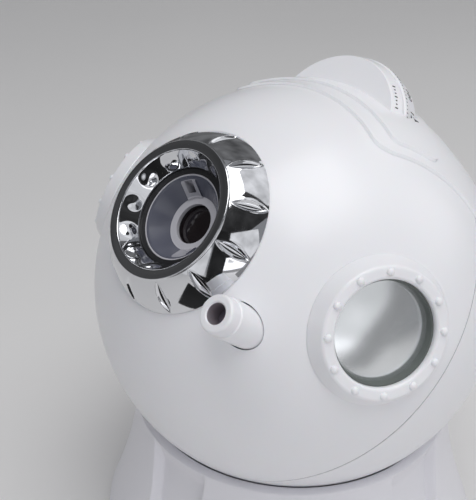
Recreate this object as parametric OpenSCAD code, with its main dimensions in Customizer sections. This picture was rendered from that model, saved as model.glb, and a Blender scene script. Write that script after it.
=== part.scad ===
// Desk planetarium: a ball-shaped star projector that rests in a splayed stand.
// The ball is drawn about its own centre with +Z along the lens axis and +Y towards its top,
// and in_ball() turns it to the pitch at which it rests. Millimetres.

/* [Ball] */
// Radius of the ball
ball_r = 80; // [76:0.5:90]
// Wall of the two ball shells
shell_wall = 2.5; // [2:0.1:3.2]
// Distance of the shells' seam in front of the ball's centre
seam_fwd = 9.6; // [7:0.2:12]
// Rise of the lens axis over the horizontal at rest
lens_pitch = 42; // [34:1:50]
// Depth of the rear shell's tongue inside the front shell
tongue_depth = 3; // [2:0.5:5]

/* [Focus ring] */
// Radius of the focus ring where it meets the ball
ring_base_r = 33.3; // [32:0.1:35]
// Rise of the ring's flat front over its base
ring_rise = 11.2; // [9:0.1:13]
// Outer radius of the flat front
ring_front_r = 25; // [24:0.1:27]
// Inner radius of the flat front
ring_lip_r = 21.4; // [21:0.1:23]
// Drop from the flat front to the foot of the dish
dish_drop = 6.7; // [5:0.1:8]
// Number of leaf-shaped flutes, and of bumps in the dish
flute_count = 12; // [8:1:14]
// Length of a flute along the slope
flute_length = 12; // [8:0.5:13]
// Width of a flute
flute_width = 3.6; // [2:0.1:4]
// Depth of a flute
flute_depth = 1.2; // [0.6:0.1:1.4]
// Radius of a bump in the dish
bump_r = 3.2; // [2:0.1:3.4]
// Height of a bump over the dish
bump_rise = 1.2; // [0.4:0.1:1.4]
// Turn of the focus ring each way
focus_angle = 50; // [30:5:60]
// Travel of the lens barrel each way
focus_travel = 3; // [2:0.25:4]

/* [Lens] */
// Outer radius of the lens barrel
barrel_r = 15.65; // [14.5:0.05:16]
// Wall of the guide tube round the barrel
guide_wall = 1.7; // [1.4:0.1:2.2]
// Distance of the guide tube's front face behind the ring's flat front
guide_setback = 7.4; // [6:0.1:9]
// Radius of the pale ring round the front lens
lens_ring_r = 9.8; // [9:0.1:11]
// Radius of the lens opening
lens_open_r = 7.3; // [6:0.1:8]
// Depth of the funnel from the barrel's rim to the pale ring
funnel_depth = 7; // [5:0.1:9]
// Radius of the two drive pins on the barrel
pin_r = 1.1; // [0.9:0.05:1.4]

/* [Portholes] */
// Angle between the lens axis and each porthole's axis
port_angle = 60; // [56:1:66]
// Radius of the porthole ring where it meets the ball
port_base_r = 25.3; // [24:0.1:27]
// Radius of the porthole ring's face
port_face_r = 22.9; // [22:0.1:24]
// Rise of the face over the ball's radius
port_rise = 1.8; // [1:0.1:3]
// Radius of the opening
port_open_r = 17.9; // [16.5:0.1:18.5]
// Radius of the recessed window that shows
window_r = 16.8; // [14:0.1:16.9]
// Depth of the window behind the face
window_depth = 4.9; // [3:0.1:6]
// Number of rivets on a porthole ring
rivet_count = 12; // [8:1:14]
// Radius of a rivet's head
rivet_r = 1.5; // [1:0.1:1.8]
// Rise of a rivet's head over the face
rivet_rise = 1.1; // [0.6:0.1:1.4]

/* [Meteor tube] */
// Distance of the tube's axis to the side of the lens axis
tube_side = 37.9; // [37:0.1:40]
// Distance of the tube's axis under the lens axis
tube_drop = 20.7; // [18:0.1:23]
// Radius of the tube
tube_r = 6.8; // [6:0.1:7.2]
// Radius of the tube's front collar
collar_r = 6.4; // [5:0.1:6.5]
// Length of the front collar
collar_length = 4.6; // [4:0.1:7]
// Radius of the tube's bore
tube_bore_r = 3.5; // [3:0.1:4]
// Distance of the tube's front face past the ball's radius
tube_reach = 1; // [0:0.1:4]

/* [Saddle and dial] */
// Thickness of each saddle plate
plate_step = 0.9; // [0.7:0.1:2]
// Distance of the lower plate's front edge in front of the ball's centre
lower_front = 48.3; // [46:0.1:50]
// Distance of the upper plate's front edge in front of the ball's centre
upper_front = 42.8; // [41:0.1:44.5]
// Distance of the upper plate's rear edge behind the dial's front face
upper_tail = 16; // [15:0.1:17]
// Depth of the dial's axis under the top of the ball
dial_depth = 21.3; // [19:0.1:22]
// Radius of the dial
dial_r = 29.5; // [28.5:0.1:31]
// Width of the dial's rim
dial_width = 9.2; // [6:0.1:10]
// Distance of the dial's front face behind the chassis plate's
dial_setback = 17.4; // [17:0.1:19]
// Thickness of the cheek in front of the dial
cheek_thick = 5.8; // [4:0.1:7]
// Radius of the cheek's flat face
cheek_face_r = 26.5; // [25:0.1:27.5]
// Radius of the cheek beside the dial
cheek_r = 28.6; // [27.6:0.1:29]
// Gap between the dial and its cheeks
dial_gap = 0.4; // [0.3:0.05:0.8]
// Turn of the dial each way
dial_angle = 60; // [30:5:75]

/* [Drive and lamp] */
// Depth of the chassis plate's front face behind the ball's front
chassis_depth = 33.6; // [33:0.1:34.5]
// Thickness of the chassis plate
chassis_thick = 2.4; // [2:0.1:2.8]
// Teeth of the disc carrier
carrier_teeth = 44; // [40:1:44]
// Teeth of the drive pinion
pinion_teeth = 12; // [11:1:13]
// Gear module
gear_module = 1.5; // [1.4:0.05:1.5]
// Width of the gear teeth
gear_width = 3.5; // [2.5:0.1:4]
// Radius of the star disc
disc_r = 24.8; // [23:0.1:25.2]
// Radius of the motor can
motor_r = 11; // [9:0.1:11.5]
// Length of the motor can
motor_length = 18; // [12:0.5:22]
// Radius of the condenser lens
condenser_r = 16.9; // [14:0.1:17.4]

/* [Stand] */
// Height of the ball's centre over the table
ball_height = 120; // [116:1:130]
// Angle of the cradle's rim under the horizontal through the ball's centre
rim_angle = 38; // [35:1:44]
// Radius of the stand at the floor
foot_r = 82.5; // [80:0.5:90]
// Wall of the stand
stand_wall = 2.6; // [2:0.1:3.5]
// Number of legs
leg_count = 4; // [3:1:5]
// Width of a leg at the floor
leg_foot_w = 54; // [44:1:58]
// Width of a leg at the cradle's rim
leg_top_w = 30; // [22:1:34]
// Depth of the panels between the legs
panel_depth = 4.5; // [3:0.1:6]
// Radius of a rubber foot
pad_foot_r = 7; // [5:0.1:8]
// Height of a rubber foot under the stand
pad_foot_h = 1.5; // [1:0.1:3]

/* [Hidden] */
$fn = 96;

seat = 0.05;        // gap between two pieces that are fixed face to face on a curve
run = 0.05;         // radial clearance of a running fit
slack = 0.3;        // gap between two pieces of different bodies
white = "#f1f1f3";
black = "#222326";
inner_r = ball_r - shell_wall;
dial_up = ball_r - dial_depth;
chassis_fwd = ball_r - chassis_depth;
dial_fwd = chassis_fwd - dial_setback;
upper_rear = dial_fwd - upper_tail;

// Distance from the centre plane at which a sphere of radius r0 has the radius r
function rise_at(r, r0 = ball_r) = sqrt(r0 * r0 - r * r);
// Points of an arc from a0 to a1 degrees
function arc(x, y, r, a0, a1, n = 8) = [for (i = [0 : n]) let (a = a0 + (a1 - a0) * i / n)
    [x + r * cos(a), y + r * sin(a)]];

module in_ball() {
    translate([0, 0, ball_height]) rotate([90 - lens_pitch, 0, 0]) children();
}

module in_port(side) {
    rotate([0, side * port_angle, 0]) children();
}

module tube(r_out, r_in, z0, z1) {
    difference() {
        translate([0, 0, z0]) cylinder(r = r_out, h = z1 - z0);
        translate([0, 0, z0 - 1]) cylinder(r = r_in, h = z1 - z0 + 2);
    }
}

module post(r, z0, z1) {
    translate([0, 0, z0]) cylinder(r = r, h = z1 - z0, $fn = 48);
}

module plate(size, z0, thick, corner = 4) {
    translate([0, 0, z0]) linear_extrude(thick) {
        square([size.x - 2 * corner, size.y], center = true);
        square([size.x, size.y - 2 * corner], center = true);
        for (x = [-1, 1], y = [-1, 1])
            translate([x * (size.x / 2 - corner), y * (size.y / 2 - corner)])
                circle(r = corner, $fn = 32);
    }
}

// A pan-head screw along +Z with its head's seat at z = 0
module screw(r, length, head_r, head_h = 1.6) {
    post(r, -length, 0.2);
    difference() {
        post(head_r, 0, head_h);
        for (a = [0, 90]) rotate([0, 0, a])
            translate([0, 0, head_h]) cube([head_r * 1.2, head_r * 0.28, head_h], center = true);
    }
}

// ---- Ball shells ----
screw_ring_r = 66;
screw_angles = [38, 142, 218, 322];
boss_r = 4.2;
screw_r = 1.5;
screw_hole_r = screw_r + 0.2;
screw_head_r = 2.9;
well_r = screw_head_r + 0.5;
well_floor = seam_fwd - 8;
ring_open_r = 31;
port_hole_r = 21;
tube_gap = 0.4;
wheel_slot = 0.9;
tongue_r = rise_at(seam_fwd + tongue_depth, inner_r) - 0.25;

module at_screws() {
    for (a = screw_angles) rotate([0, 0, a]) translate([screw_ring_r, 0, 0]) children();
}

module half_ball(r, from_seam) {
    intersection() {
        sphere(r = r);
        translate([-r - 1, -r - 1, from_seam > 0 ? seam_fwd : seam_fwd - 2 * r - 2])
            cube([2 * r + 2, 2 * r + 2, 2 * r + 2]);
    }
}

// A fine V-groove along the seam, half of it in each shell
module seam_groove() {
    seam_r = rise_at(seam_fwd);
    rotate_extrude() polygon([[seam_r - 0.45, seam_fwd], [seam_r + 1, seam_fwd + 1.2],
        [seam_r + 1, seam_fwd - 1.2]]);
}

module front_shell() {
    color(white) in_ball() difference() {
        union() {
            difference() {
                half_ball(ball_r, 1);
                sphere(r = inner_r);
            }
            intersection() {
                sphere(r = inner_r + shell_wall / 2);
                union() {
                    at_screws() post(boss_r, seam_fwd + tongue_depth + slack, ball_r);
                    at_chassis_screws() post(boss_r, chassis_fwd, ball_r);
                    tube(retainer_r + 0.8, ring_open_r, spigot_end + seat, ball_r);
                }
            }
        }
        translate([0, 0, ball_r / 2]) cylinder(r = ring_open_r, h = ball_r);
        for (side = [-1, 1]) in_port(side)
            translate([0, 0, ball_r / 2]) cylinder(r = port_hole_r, h = ball_r);
        translate([tube_side, -tube_drop, chassis_fwd]) cylinder(r = tube_r + tube_gap, h = ball_r);
        translate([0, dial_up, dial_fwd - dial_width - wheel_slot])
            cylinder(r = dial_r + wheel_slot, h = dial_width + 2 * wheel_slot);
        at_screws() post(screw_r - 0.1, 0, seam_fwd + tongue_depth + 13);
        at_chassis_screws() post(screw_r - 0.1, 0, chassis_fwd + 6);
        seam_groove();
    }
}

vent_r = 25;
vent_pitch = 6;
vent_w = 2.6;
inlet_angle = 124;     // between the lens axis and the power inlet, over the top
inlet_r = 4.2;
board_back = -26;
board_size = [84, 56];
board_thick = 1.6;
board_inset = 5;
chip_size = [16, 12, 2.2];
can_r = 4;
can_height = 11;
can_place = [24, 8];
relay_size = [12, 6, 7];
relay_row = -24;
inlet_depth = 6;
inlet_block = [14, 12, 10];
screw_bite = 6;

module at_board_corners() {
    for (x = [-1, 1], y = [-1, 1])
        translate([x * (board_size.x / 2 - board_inset), y * (board_size.y / 2 - board_inset), 0])
            children();
}

module in_inlet() {
    rotate([-inlet_angle, 0, 0]) children();
}

module rear_shell() {
    color(white) in_ball() difference() {
        union() {
            difference() {
                half_ball(ball_r, -1);
                sphere(r = inner_r);
            }
            rotate_extrude() polygon([[tongue_r - 1.8, seam_fwd - 6], [inner_r + 0.6, seam_fwd - 6],
                [inner_r + 0.6, seam_fwd - 1.5], [tongue_r, seam_fwd], [tongue_r, seam_fwd + tongue_depth],
                [tongue_r - 1.8, seam_fwd + tongue_depth]]);
            intersection() {
                sphere(r = inner_r + shell_wall / 2);
                union() {
                    at_screws() post(well_r + 1.6, -ball_r, seam_fwd + tongue_depth);
                    at_board_corners() post(3.2, -ball_r, board_back);
                }
            }
            intersection() {
                sphere(r = inner_r + shell_wall / 2);
                in_inlet() tube(inlet_r + 3.4, inlet_r + 1, inner_r - inlet_depth, ball_r);
            }
        }
        at_screws() {
            post(well_r, -ball_r, well_floor);
            post(screw_hole_r, -ball_r, seam_fwd + tongue_depth + 1);
        }
        at_board_corners() post(screw_r - 0.3, board_back - 8, board_back + 1);
        seam_groove();
        in_inlet() translate([0, 0, inner_r - 8]) cylinder(r = inlet_r, h = 20);
        for (i = [-floor(vent_r / vent_pitch) : floor(vent_r / vent_pitch)]) {
            half = sqrt(max(vent_r * vent_r - pow(i * vent_pitch, 2), 1)) - vent_w;
            translate([i * vent_pitch, 0, -ball_r])
                linear_extrude(ball_r / 2) {
                    square([vent_w, 2 * half], center = true);
                    for (y = [-half, half]) translate([0, y]) circle(d = vent_w, $fn = 24);
                }
        }
    }
}

module shell_screws() {
    color("silver") in_ball() at_screws() translate([0, 0, well_floor]) mirror([0, 0, 1])
        screw(screw_r - 0.15, seam_fwd + tongue_depth + 11 - well_floor, screw_head_r);
}

// ---- Saddle plates and dial ----
lower_half = 0.40 * ball_r;
upper_half = 0.43 * ball_r;
splay = 31;
corner_r = 7;
cheek_gap = 0.3;

// Right half of the lower plate in plan: x to the side, y forward
function lower_outline() = let (
    knee = [lower_half + 0.105 * ball_r, lower_front - 5],
    back = [knee.x + (knee.y - seam_fwd) * tan(splay), seam_fwd])
    concat([[0, lower_front], [lower_half, lower_front]],
        [for (t = [0.2 : 0.2 : 1]) [lower_half + (knee.x - lower_half) * t,
            lower_front + (knee.y - lower_front) * t * t]],
        [back, [0, seam_fwd]]);

function upper_outline() = let (
    knee = [upper_half + 0.05 * ball_r, upper_front - 2],
    tail_y = upper_rear + 15,
    tail = [knee.x + (knee.y - tail_y) * tan(splay), tail_y])
    concat([[0, upper_front], [upper_half, upper_front]],
        [for (t = [0.25 : 0.25 : 1]) [upper_half + (knee.x - upper_half) * t,
            upper_front + (knee.y - upper_front) * t * t]],
        arc(tail.x - 2.6, tail.y, 2.6, 30, -60, 4),
        [[0.60 * upper_half, upper_rear], [0, upper_rear]]);

module saddle_prism(outline) {
    // the plan outline stands along the ball's +Y
    n = len(outline);
    rotate([90, 0, 0]) mirror([0, 0, 1]) linear_extrude(2 * ball_r)
        polygon(concat(outline, [for (i = [n - 2 : -1 : 1]) [-outline[i].x, outline[i].y]]));
}

module saddle_shell(r_in, r_out, outline) {
    difference() {
        intersection() {
            sphere(r = r_out);
            saddle_prism(outline);
        }
        sphere(r = r_in);
    }
}

module dial_cut(extra) {
    translate([0, dial_up, dial_fwd - dial_width - extra])
        cylinder(r = dial_r + wheel_slot, h = dial_width + 2 * extra);
}

module saddle_lower() {
    color(white) in_ball() difference() {
        saddle_shell(ball_r + seat, ball_r + plate_step, lower_outline());
        dial_cut(wheel_slot);
    }
}

module saddle_top() {
    cheek_back = dial_fwd + dial_gap;
    rear_front = dial_fwd - dial_width - dial_gap;
    color(white) in_ball() difference() {
        union() {
            saddle_shell(ball_r + plate_step + seat, ball_r + 2 * plate_step, upper_outline());
            difference() {
                translate([0, dial_up, 0]) rotate_extrude() polygon(concat(
                    [[0, cheek_back], [cheek_r, cheek_back], [cheek_r, cheek_back + 1]],
                    [[cheek_face_r + 0.5, cheek_back + cheek_thick - 0.7],
                     [cheek_face_r, cheek_back + cheek_thick], [0, cheek_back + cheek_thick]]));
                sphere(r = ball_r + plate_step + seat);
            }
            difference() {
                translate([0, dial_up, 0]) rotate_extrude() polygon(concat(
                    [[0, rear_front], [cheek_r, rear_front], [cheek_r, rear_front - 1]],
                    [[cheek_face_r, rear_front - cheek_thick + 0.5], [0, rear_front - cheek_thick + 0.5]]));
                sphere(r = ball_r + plate_step + seat);
            }
        }
        dial_cut(dial_gap);
    }
}

shaft_r = 3;
ear_thick = 3;
ear_front = dial_fwd + 2.6;
ear_rear = dial_fwd - dial_width - 3.4 - ear_thick;
bracket_w = 36;
lamp_size = [86, 46];
bracket_low = lamp_size.y / 2 + 1;
bracket_cap_r = 8;
switch_size = [16, 16, 8];
switch_pin = [1, 4.2, 0.6];
switch_pin_pitch = 5;

module timer_dial() {
    color(white) in_ball() translate([0, dial_up, 0]) {
        difference() {
            rotate_extrude() polygon(concat([[0, dial_fwd - dial_width]],
                arc(dial_r - 0.8, dial_fwd - dial_width + 0.8, 0.8, -90, 0, 3),
                arc(dial_r - 0.8, dial_fwd - 0.8, 0.8, 0, 90, 3), [[0, dial_fwd]]));
            for (z = [dial_fwd - 1.6, dial_fwd - dial_width - 1])
                tube(dial_r - 3, shaft_r + 3.5, z, z + 2.6);
        }
        post(shaft_r, ear_rear - 6, ear_front + ear_thick + 0.6);
    }
}

module dial_bracket() {
    color("gainsboro") in_ball() difference() {
        union() {
            for (z = [ear_front, ear_rear]) {
                translate([-bracket_w / 2, bracket_low, z])
                    cube([bracket_w, dial_up - bracket_low, ear_thick]);
                translate([0, dial_up, 0]) post(bracket_cap_r, z, z + ear_thick);
            }
            translate([-bracket_w / 2, bracket_low, ear_rear])
                cube([bracket_w, 3, ear_front + ear_thick - ear_rear]);
            for (x = [-1, 1]) translate([x * (bracket_w / 2 - 5), dial_up - 10, 0])
                post(3.2, ear_front, chassis_fwd - chassis_thick);
        }
        translate([0, dial_up, 0]) post(shaft_r + run, 0, ball_r);
    }
}

module timer_switch() {
    color("dimgray") in_ball() translate([0, dial_up, 0]) difference() {
        union() {
            translate([-switch_size.x / 2, -switch_size.y / 2, ear_rear - switch_size.z]) cube(switch_size);
            for (i = [-1 : 1]) translate([i * switch_pin_pitch - switch_pin.x / 2,
                0.2 - switch_size.y / 2 - switch_pin.y, ear_rear - switch_size.z + 3]) cube(switch_pin);
        }
        post(shaft_r + run, ear_rear - 6.4, ear_rear + 1);
    }
}

// ---- Focus ring ----
ring_base_z = rise_at(ring_base_r) + slack;
ring_front_z = ring_base_z + ring_rise;
dish_z = ring_front_z - dish_drop;
guide_in_r = barrel_r + run;
guide_out_r = guide_in_r + guide_wall;
cam_in_r = guide_out_r + run;
dish_r = cam_in_r + 0.1;
cam_out_r = cam_in_r + 2.6;
spigot_r = ring_open_r - slack;
spigot_in_r = spigot_r - 2.6;
spigot_end = rise_at(ring_open_r, inner_r) - 4;
retainer_r = ring_open_r + 2.2;
guide_front_z = ring_front_z - guide_setback;
barrel_front_z = guide_front_z - 0.6;
pin_z = barrel_front_z - funnel_depth - 5.5;
cam_low = pin_z - focus_travel - 5;
slope_run = ring_base_r - ring_front_r;
slope_length = sqrt(slope_run * slope_run + ring_rise * ring_rise);
slope_angle = atan2(ring_rise, slope_run);
slope_bulge = 0.7;
flute_phase = 87.5;    // turn of the first flute from the ball's side, near the top

module at_angles(n, phase = 0) {
    for (i = [0 : n - 1]) rotate([0, 0, phase + i * 360 / n]) children();
}

// A lens-shaped cutter: two spheres cross, so that its cut is pointed at both ends
module flute() {
    reach = (flute_length * flute_length / 4 + flute_depth * flute_depth) / (2 * flute_depth);
    lift = reach - flute_depth;
    cord2 = reach * reach - lift * lift;
    offset_d = (cord2 - flute_width * flute_width / 4) / flute_width;
    ball = sqrt(reach * reach + offset_d * offset_d);
    translate([ring_base_r - slope_run / 2, 0, ring_base_z + ring_rise / 2])
        rotate([0, slope_angle - 90, 0])
            translate([lift + slope_bulge, 0, 0]) intersection() {
                translate([0, offset_d, 0]) sphere(r = ball);
                translate([0, -offset_d, 0]) sphere(r = ball);
            }
}

function slope_points(n = 6) = [for (i = [0 : n]) let (t = i / n, b = slope_bulge * 4 * t * (1 - t))
    [ring_base_r - slope_run * t + b * sin(slope_angle), ring_base_z + (ring_rise - 0.4) * t
        + b * cos(slope_angle)]];

module focus_ring() {
    bump_z = dish_z + dish_drop * 0.52;
    dish_slope = atan2(dish_drop, ring_lip_r - dish_r);
    color("lightgray") in_ball() union() {
        difference() {
            rotate_extrude() polygon(concat(slope_points(),
                [[ring_front_r - 0.4, ring_front_z], [ring_lip_r + 0.3, ring_front_z],
                 [ring_lip_r, ring_front_z - 0.3], [dish_r, dish_z], [dish_r, dish_z - 1.2],
                 [cam_out_r + run, dish_z - 1.2], [cam_out_r + run, dish_z - 3.2],
                 [spigot_in_r, ring_base_z - 1], [spigot_in_r, spigot_end], [spigot_r, spigot_end],
                 [spigot_r, ring_base_z - 2], [ring_base_r, ring_base_z - 2]]));
            difference() {
                sphere(r = ball_r + slack);
                translate([0, 0, -ball_r]) cylinder(r = spigot_r, h = 3 * ball_r);
            }
            at_angles(flute_count, flute_phase) flute();
        }
        at_angles(flute_count, flute_phase + 180 / flute_count) intersection() {
            translate([dish_r + (ring_lip_r - dish_r) * 0.52 + (bump_r - bump_rise) * sin(dish_slope), 0,
                bump_z - (bump_r - bump_rise) * cos(dish_slope)]) sphere(r = bump_r);
            translate([0, 0, dish_z - 1.1]) cylinder(r = ring_lip_r + 2, h = dish_drop + 0.6);
        }
    }
}

// The cam's two slots climb with the ring's turn and carry the barrel's pins
module cam_slot() {
    lead = focus_angle / focus_travel;
    half_z = focus_travel + pin_r + 0.25;
    arc_mm = PI / 180 * cam_in_r * lead;
    half_w = (pin_r + 0.16) * sqrt(1 + arc_mm * arc_mm) / arc_mm * lead;
    translate([0, 0, pin_z - half_z]) rotate([0, 0, lead * half_z])
        linear_extrude(2 * half_z, twist = 2 * lead * half_z, slices = 24, $fn = 8)
            polygon(concat(arc(0, 0, cam_in_r - 1, -half_w, half_w, 4),
                arc(0, 0, cam_out_r + 1, half_w, -half_w, 4)));
}

module focus_cam() {
    color(black) in_ball() difference() {
        tube(cam_out_r, cam_in_r, cam_low, dish_z - 1.2);
        for (a = [0, 180]) rotate([0, 0, a]) cam_slot();
    }
}

module ring_retainer() {
    color(black) in_ball() {
        tube(retainer_r, spigot_in_r - 1.4, spigot_end - 2, spigot_end);
        tube(spigot_in_r - seat, spigot_in_r - 1.4, spigot_end - 1, spigot_end + 3);
        difference() {
            tube(spigot_in_r - 1.2, cam_out_r + seat, spigot_end - 2, spigot_end);
            at_angles(6, 30) translate([(spigot_in_r + cam_out_r) / 2, 0, spigot_end - 3])
                cylinder(r = 2.2, h = 4, $fn = 48);
        }
    }
}

// ---- Lens ----
flange_r = 25;
flange_thick = 2.6;
slot_half = focus_travel + pin_r + 0.2;
chassis_back = chassis_fwd - chassis_thick;
lens_seat_r = lens_open_r + 1;
front_lens_z = barrel_front_z - funnel_depth - 1.4;
front_lens_thick = 5;
rear_lens_z = chassis_fwd + focus_travel + 4.4;
lens_thick = 5;
lens_bow = 1.4;
rear_lens_r = barrel_r - 2.4;

module guide_tube() {
    color(black) in_ball() difference() {
        union() {
            tube(guide_out_r, guide_in_r, chassis_fwd, guide_front_z);
            tube(flange_r, guide_in_r, chassis_fwd, chassis_fwd + flange_thick);
        }
        for (a = [0, 180]) rotate([0, 0, a]) {
            translate([guide_in_r - 1, -pin_r - run, pin_z - slot_half])
                cube([guide_wall + 2, 2 * (pin_r + run), 2 * slot_half]);
        }
        at_flange_screws() post(screw_r + 0.1, 0, ball_r);
    }
}

module at_flange_screws() {
    at_angles(3, 30) translate([flange_r - 3.6, 0, 0]) children();
}

module lens_barrel() {
    rim_in_r = barrel_r - 0.9;
    ring_z = barrel_front_z - funnel_depth;
    spoke_w = 6;
    spoke_phase = 30;
    color("#b9b9c2") in_ball() difference() {
        union() {
            rotate_extrude() polygon([[rear_lens_r - 0.6, rear_lens_z - 1],
                [barrel_r, rear_lens_z - 1], [barrel_r, barrel_front_z], [rim_in_r, barrel_front_z],
                [rim_in_r - 0.3, barrel_front_z - 0.6], [lens_ring_r, ring_z], [lens_open_r, ring_z],
                [lens_open_r, ring_z - 1.4], [lens_seat_r, ring_z - 1.4],
                [lens_seat_r, front_lens_z - front_lens_thick - 1],
                [rear_lens_r, front_lens_z - front_lens_thick - 2.2],
                [rear_lens_r, rear_lens_z], [rear_lens_r - 0.6, rear_lens_z]]);
            for (a = [0, 180]) rotate([0, 0, a]) translate([0, 0, pin_z]) rotate([0, 90, 0])
                post(pin_r, barrel_r - 1.2, cam_out_r - 0.4);
            // two ribs stand up from the funnel beside the pale ring
            rotate([0, 0, spoke_phase]) intersection() {
                rotate_extrude() polygon([[lens_ring_r - 0.2, ring_z - 0.5], [rim_in_r, barrel_front_z - 1.2],
                    [rim_in_r - 1.2, barrel_front_z - 1.2], [lens_ring_r - 0.2, ring_z + 0.9]]);
                translate([-spoke_w / 2, -barrel_r, 0]) cube([spoke_w, 2 * barrel_r, ball_r + 20]);
            }
        }
        rotate([0, 0, spoke_phase]) translate([-1.6, lens_ring_r + 0.9, ring_z - 1])
            cube([3.2, 3.2, funnel_depth]);
    }
}

module biconvex(r, thick, bow, n = 6) {
    function face(t) = thick / 2 - bow * t * t;
    rotate_extrude() polygon(concat([for (i = [0 : n]) [r * i / n, face(i / n)]],
        [for (i = [n : -1 : 0]) [r * i / n, -face(i / n)]]));
}

module front_lens() {
    color("darkslategray") in_ball() translate([0, 0, front_lens_z - front_lens_thick / 2])
        biconvex(lens_seat_r - seat, front_lens_thick, 1.2);
}

module rear_lens() {
    color("lightblue") in_ball() translate([0, 0, rear_lens_z + lens_thick / 2])
        biconvex(rear_lens_r - seat, lens_thick, lens_bow);
}

module lens_lock_ring() {
    ring_in_r = rear_lens_r - 1.6;
    low = rear_lens_z + lens_thick - lens_bow * pow(ring_in_r / rear_lens_r, 2) + seat;
    color(black) in_ball() tube(rear_lens_r - seat, ring_in_r, low, low + 2);
}

// ---- Chassis, star disc and drive ----
chassis_r = rise_at(chassis_fwd, inner_r) - 2;
chassis_flat = 46;
chassis_screw_r = 51;
chassis_angles = [50, 130, 230, 310];
light_r = 19.5;
bearing_r = 27;
bearing_depth = 2.8;
gear_r = gear_module * carrier_teeth / 2;
pinion_pitch_r = gear_module * pinion_teeth / 2;
mesh_slack = 0.15;
gear_distance = gear_r + pinion_pitch_r + mesh_slack;
carrier_front = chassis_back - bearing_depth - slack;
carrier_back = carrier_front - gear_width;

module at_chassis_screws() {
    for (a = chassis_angles) rotate([0, 0, a]) translate([chassis_screw_r, 0, 0]) children();
}

module chassis_plate() {
    color("gainsboro") in_ball() difference() {
        union() {
            intersection() {
                post(chassis_r, chassis_back, chassis_fwd);
                translate([-chassis_flat, -ball_r, 0]) cube([2 * chassis_flat, 2 * ball_r, ball_r]);
            }
            tube(bearing_r + 2.4, bearing_r, chassis_back - bearing_depth, chassis_fwd);
        }
        translate([0, 0, chassis_back - 1]) cylinder(r = light_r, h = chassis_thick + 2);
        at_chassis_screws() post(screw_hole_r, 0, ball_r);
        at_flange_screws() post(screw_r - 0.3, 0, ball_r);
        translate([tube_side, -tube_drop, 0]) post(tube_bore_r, 0, ball_r);
    }
}

module chassis_screws() {
    color("silver") in_ball() {
        at_chassis_screws() translate([0, 0, chassis_back]) mirror([0, 0, 1])
            screw(screw_r - 0.15, chassis_thick + 5, screw_head_r);
        at_flange_screws() translate([0, 0, chassis_fwd + flange_thick])
            screw(screw_r - 0.35, flange_thick + 1.6, screw_head_r - 0.5);
    }
}

// Involute gear outline
function involute(rb, r) = let (t = sqrt(max(r * r / (rb * rb) - 1, 0))) t * 180 / PI - atan(t);

module gear_outline(teeth, phase) {
    pitch = gear_module * teeth / 2;
    base = pitch * cos(20);
    tip = pitch + 0.75 * gear_module;
    root = pitch - 1.1 * gear_module;
    half = 90 / teeth - 0.25 / pitch * 180 / PI / 2;
    turn = half + involute(base, pitch);
    radii = [for (i = [0 : 3]) max(root, base) + (tip - max(root, base)) * i / 3];
    rotate(phase) polygon([for (k = [0 : teeth - 1]) let (c = k * 360 / teeth) each concat(
        [let (a = c - turn) [root * cos(a - 0.4), root * sin(a - 0.4)]],
        [for (r = radii) let (a = c - turn + involute(base, r)) [r * cos(a), r * sin(a)]],
        [for (i = [3 : -1 : 0]) let (r = radii[i], a = c + turn - involute(base, r))
            [r * cos(a), r * sin(a)]],
        [let (a = c + turn) [root * cos(a + 0.4), root * sin(a + 0.4)]])]);
}

module disc_carrier() {
    color("white") in_ball() difference() {
        union() {
            translate([0, 0, carrier_back]) linear_extrude(gear_width) gear_outline(carrier_teeth, -90);
            post(bearing_r - run, carrier_back, chassis_back - 0.3);
        }
        translate([0, 0, carrier_back - 1]) cylinder(r = disc_r - 3, h = gear_width + 10);
        translate([0, 0, carrier_back + 1.2]) cylinder(r = disc_r + seat, h = gear_width + 10);
    }
}

module star_disc() {
    color("midnightblue") in_ball() tube(disc_r, 0.5, carrier_back + 1.2, carrier_back + 2.4);
}

module carrier_clips() {
    clip_r = gear_r + 0.75 * gear_module + 0.6;
    low = carrier_back - slack - 1.2;
    color("dimgray") in_ball() at_angles(3, 90) translate([clip_r, 0, low]) {
        translate([0, -3, 0]) cube([3, 6, chassis_back - low]);
        translate([-4, -3, 0]) cube([4.5, 6, 1.2]);
    }
}

module drive_pinion() {
    color("ivory") in_ball() translate([0, -gear_distance, 0]) difference() {
        union() {
            translate([0, 0, carrier_back]) linear_extrude(gear_width)
                gear_outline(pinion_teeth, pinion_phase);
            post(3.4, carrier_back - 1.2, carrier_back + 0.1);
        }
        post(motor_shaft_r + seat, carrier_back - 2, carrier_back + gear_width - 1);
    }
}
// a tooth gap of the pinion faces the carrier's tooth, straight up
pinion_phase = 90 + 180 / pinion_teeth;

motor_plate_front = carrier_back - 1.6;
motor_plate_thick = 1.6;
motor_plate_back = motor_plate_front - motor_plate_thick;
motor_post_x = 17;
motor_shaft_r = 1.45;

module motor_plate() {
    color("silver") in_ball() difference() {
        translate([0, -gear_distance, 0]) union() {
            plate([2 * motor_post_x + 10, 18], motor_plate_back, motor_plate_thick, 4);
            for (x = [-1, 1]) translate([x * motor_post_x, -3, 0])
                post(3, motor_plate_front, chassis_back);
        }
        translate([0, -gear_distance, 0]) post(3, 0, ball_r);
    }
}

module motor_shaft() {
    color("silver") in_ball() translate([0, -gear_distance, 0])
        post(motor_shaft_r, motor_plate_back - 5.6, carrier_back + gear_width - 1.2);
}

module drive_motor() {
    color("silver") in_ball() translate([0, -gear_distance, 0]) {
        difference() {
            union() {
                post(motor_r, motor_plate_back - motor_length, motor_plate_back);
                post(2.9, motor_plate_back - 0.1, motor_plate_front);
            }
            post(motor_shaft_r + run, motor_plate_back - 6, motor_plate_front + 1);
        }
        post(4, motor_plate_back - motor_length - 1.6, motor_plate_back - motor_length + 0.1);
        for (x = [-4, 4]) translate([x - 0.4, -1.2, motor_plate_back - motor_length - 5])
            cube([0.8, 2.4, 5.1]);
    }
}

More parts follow.
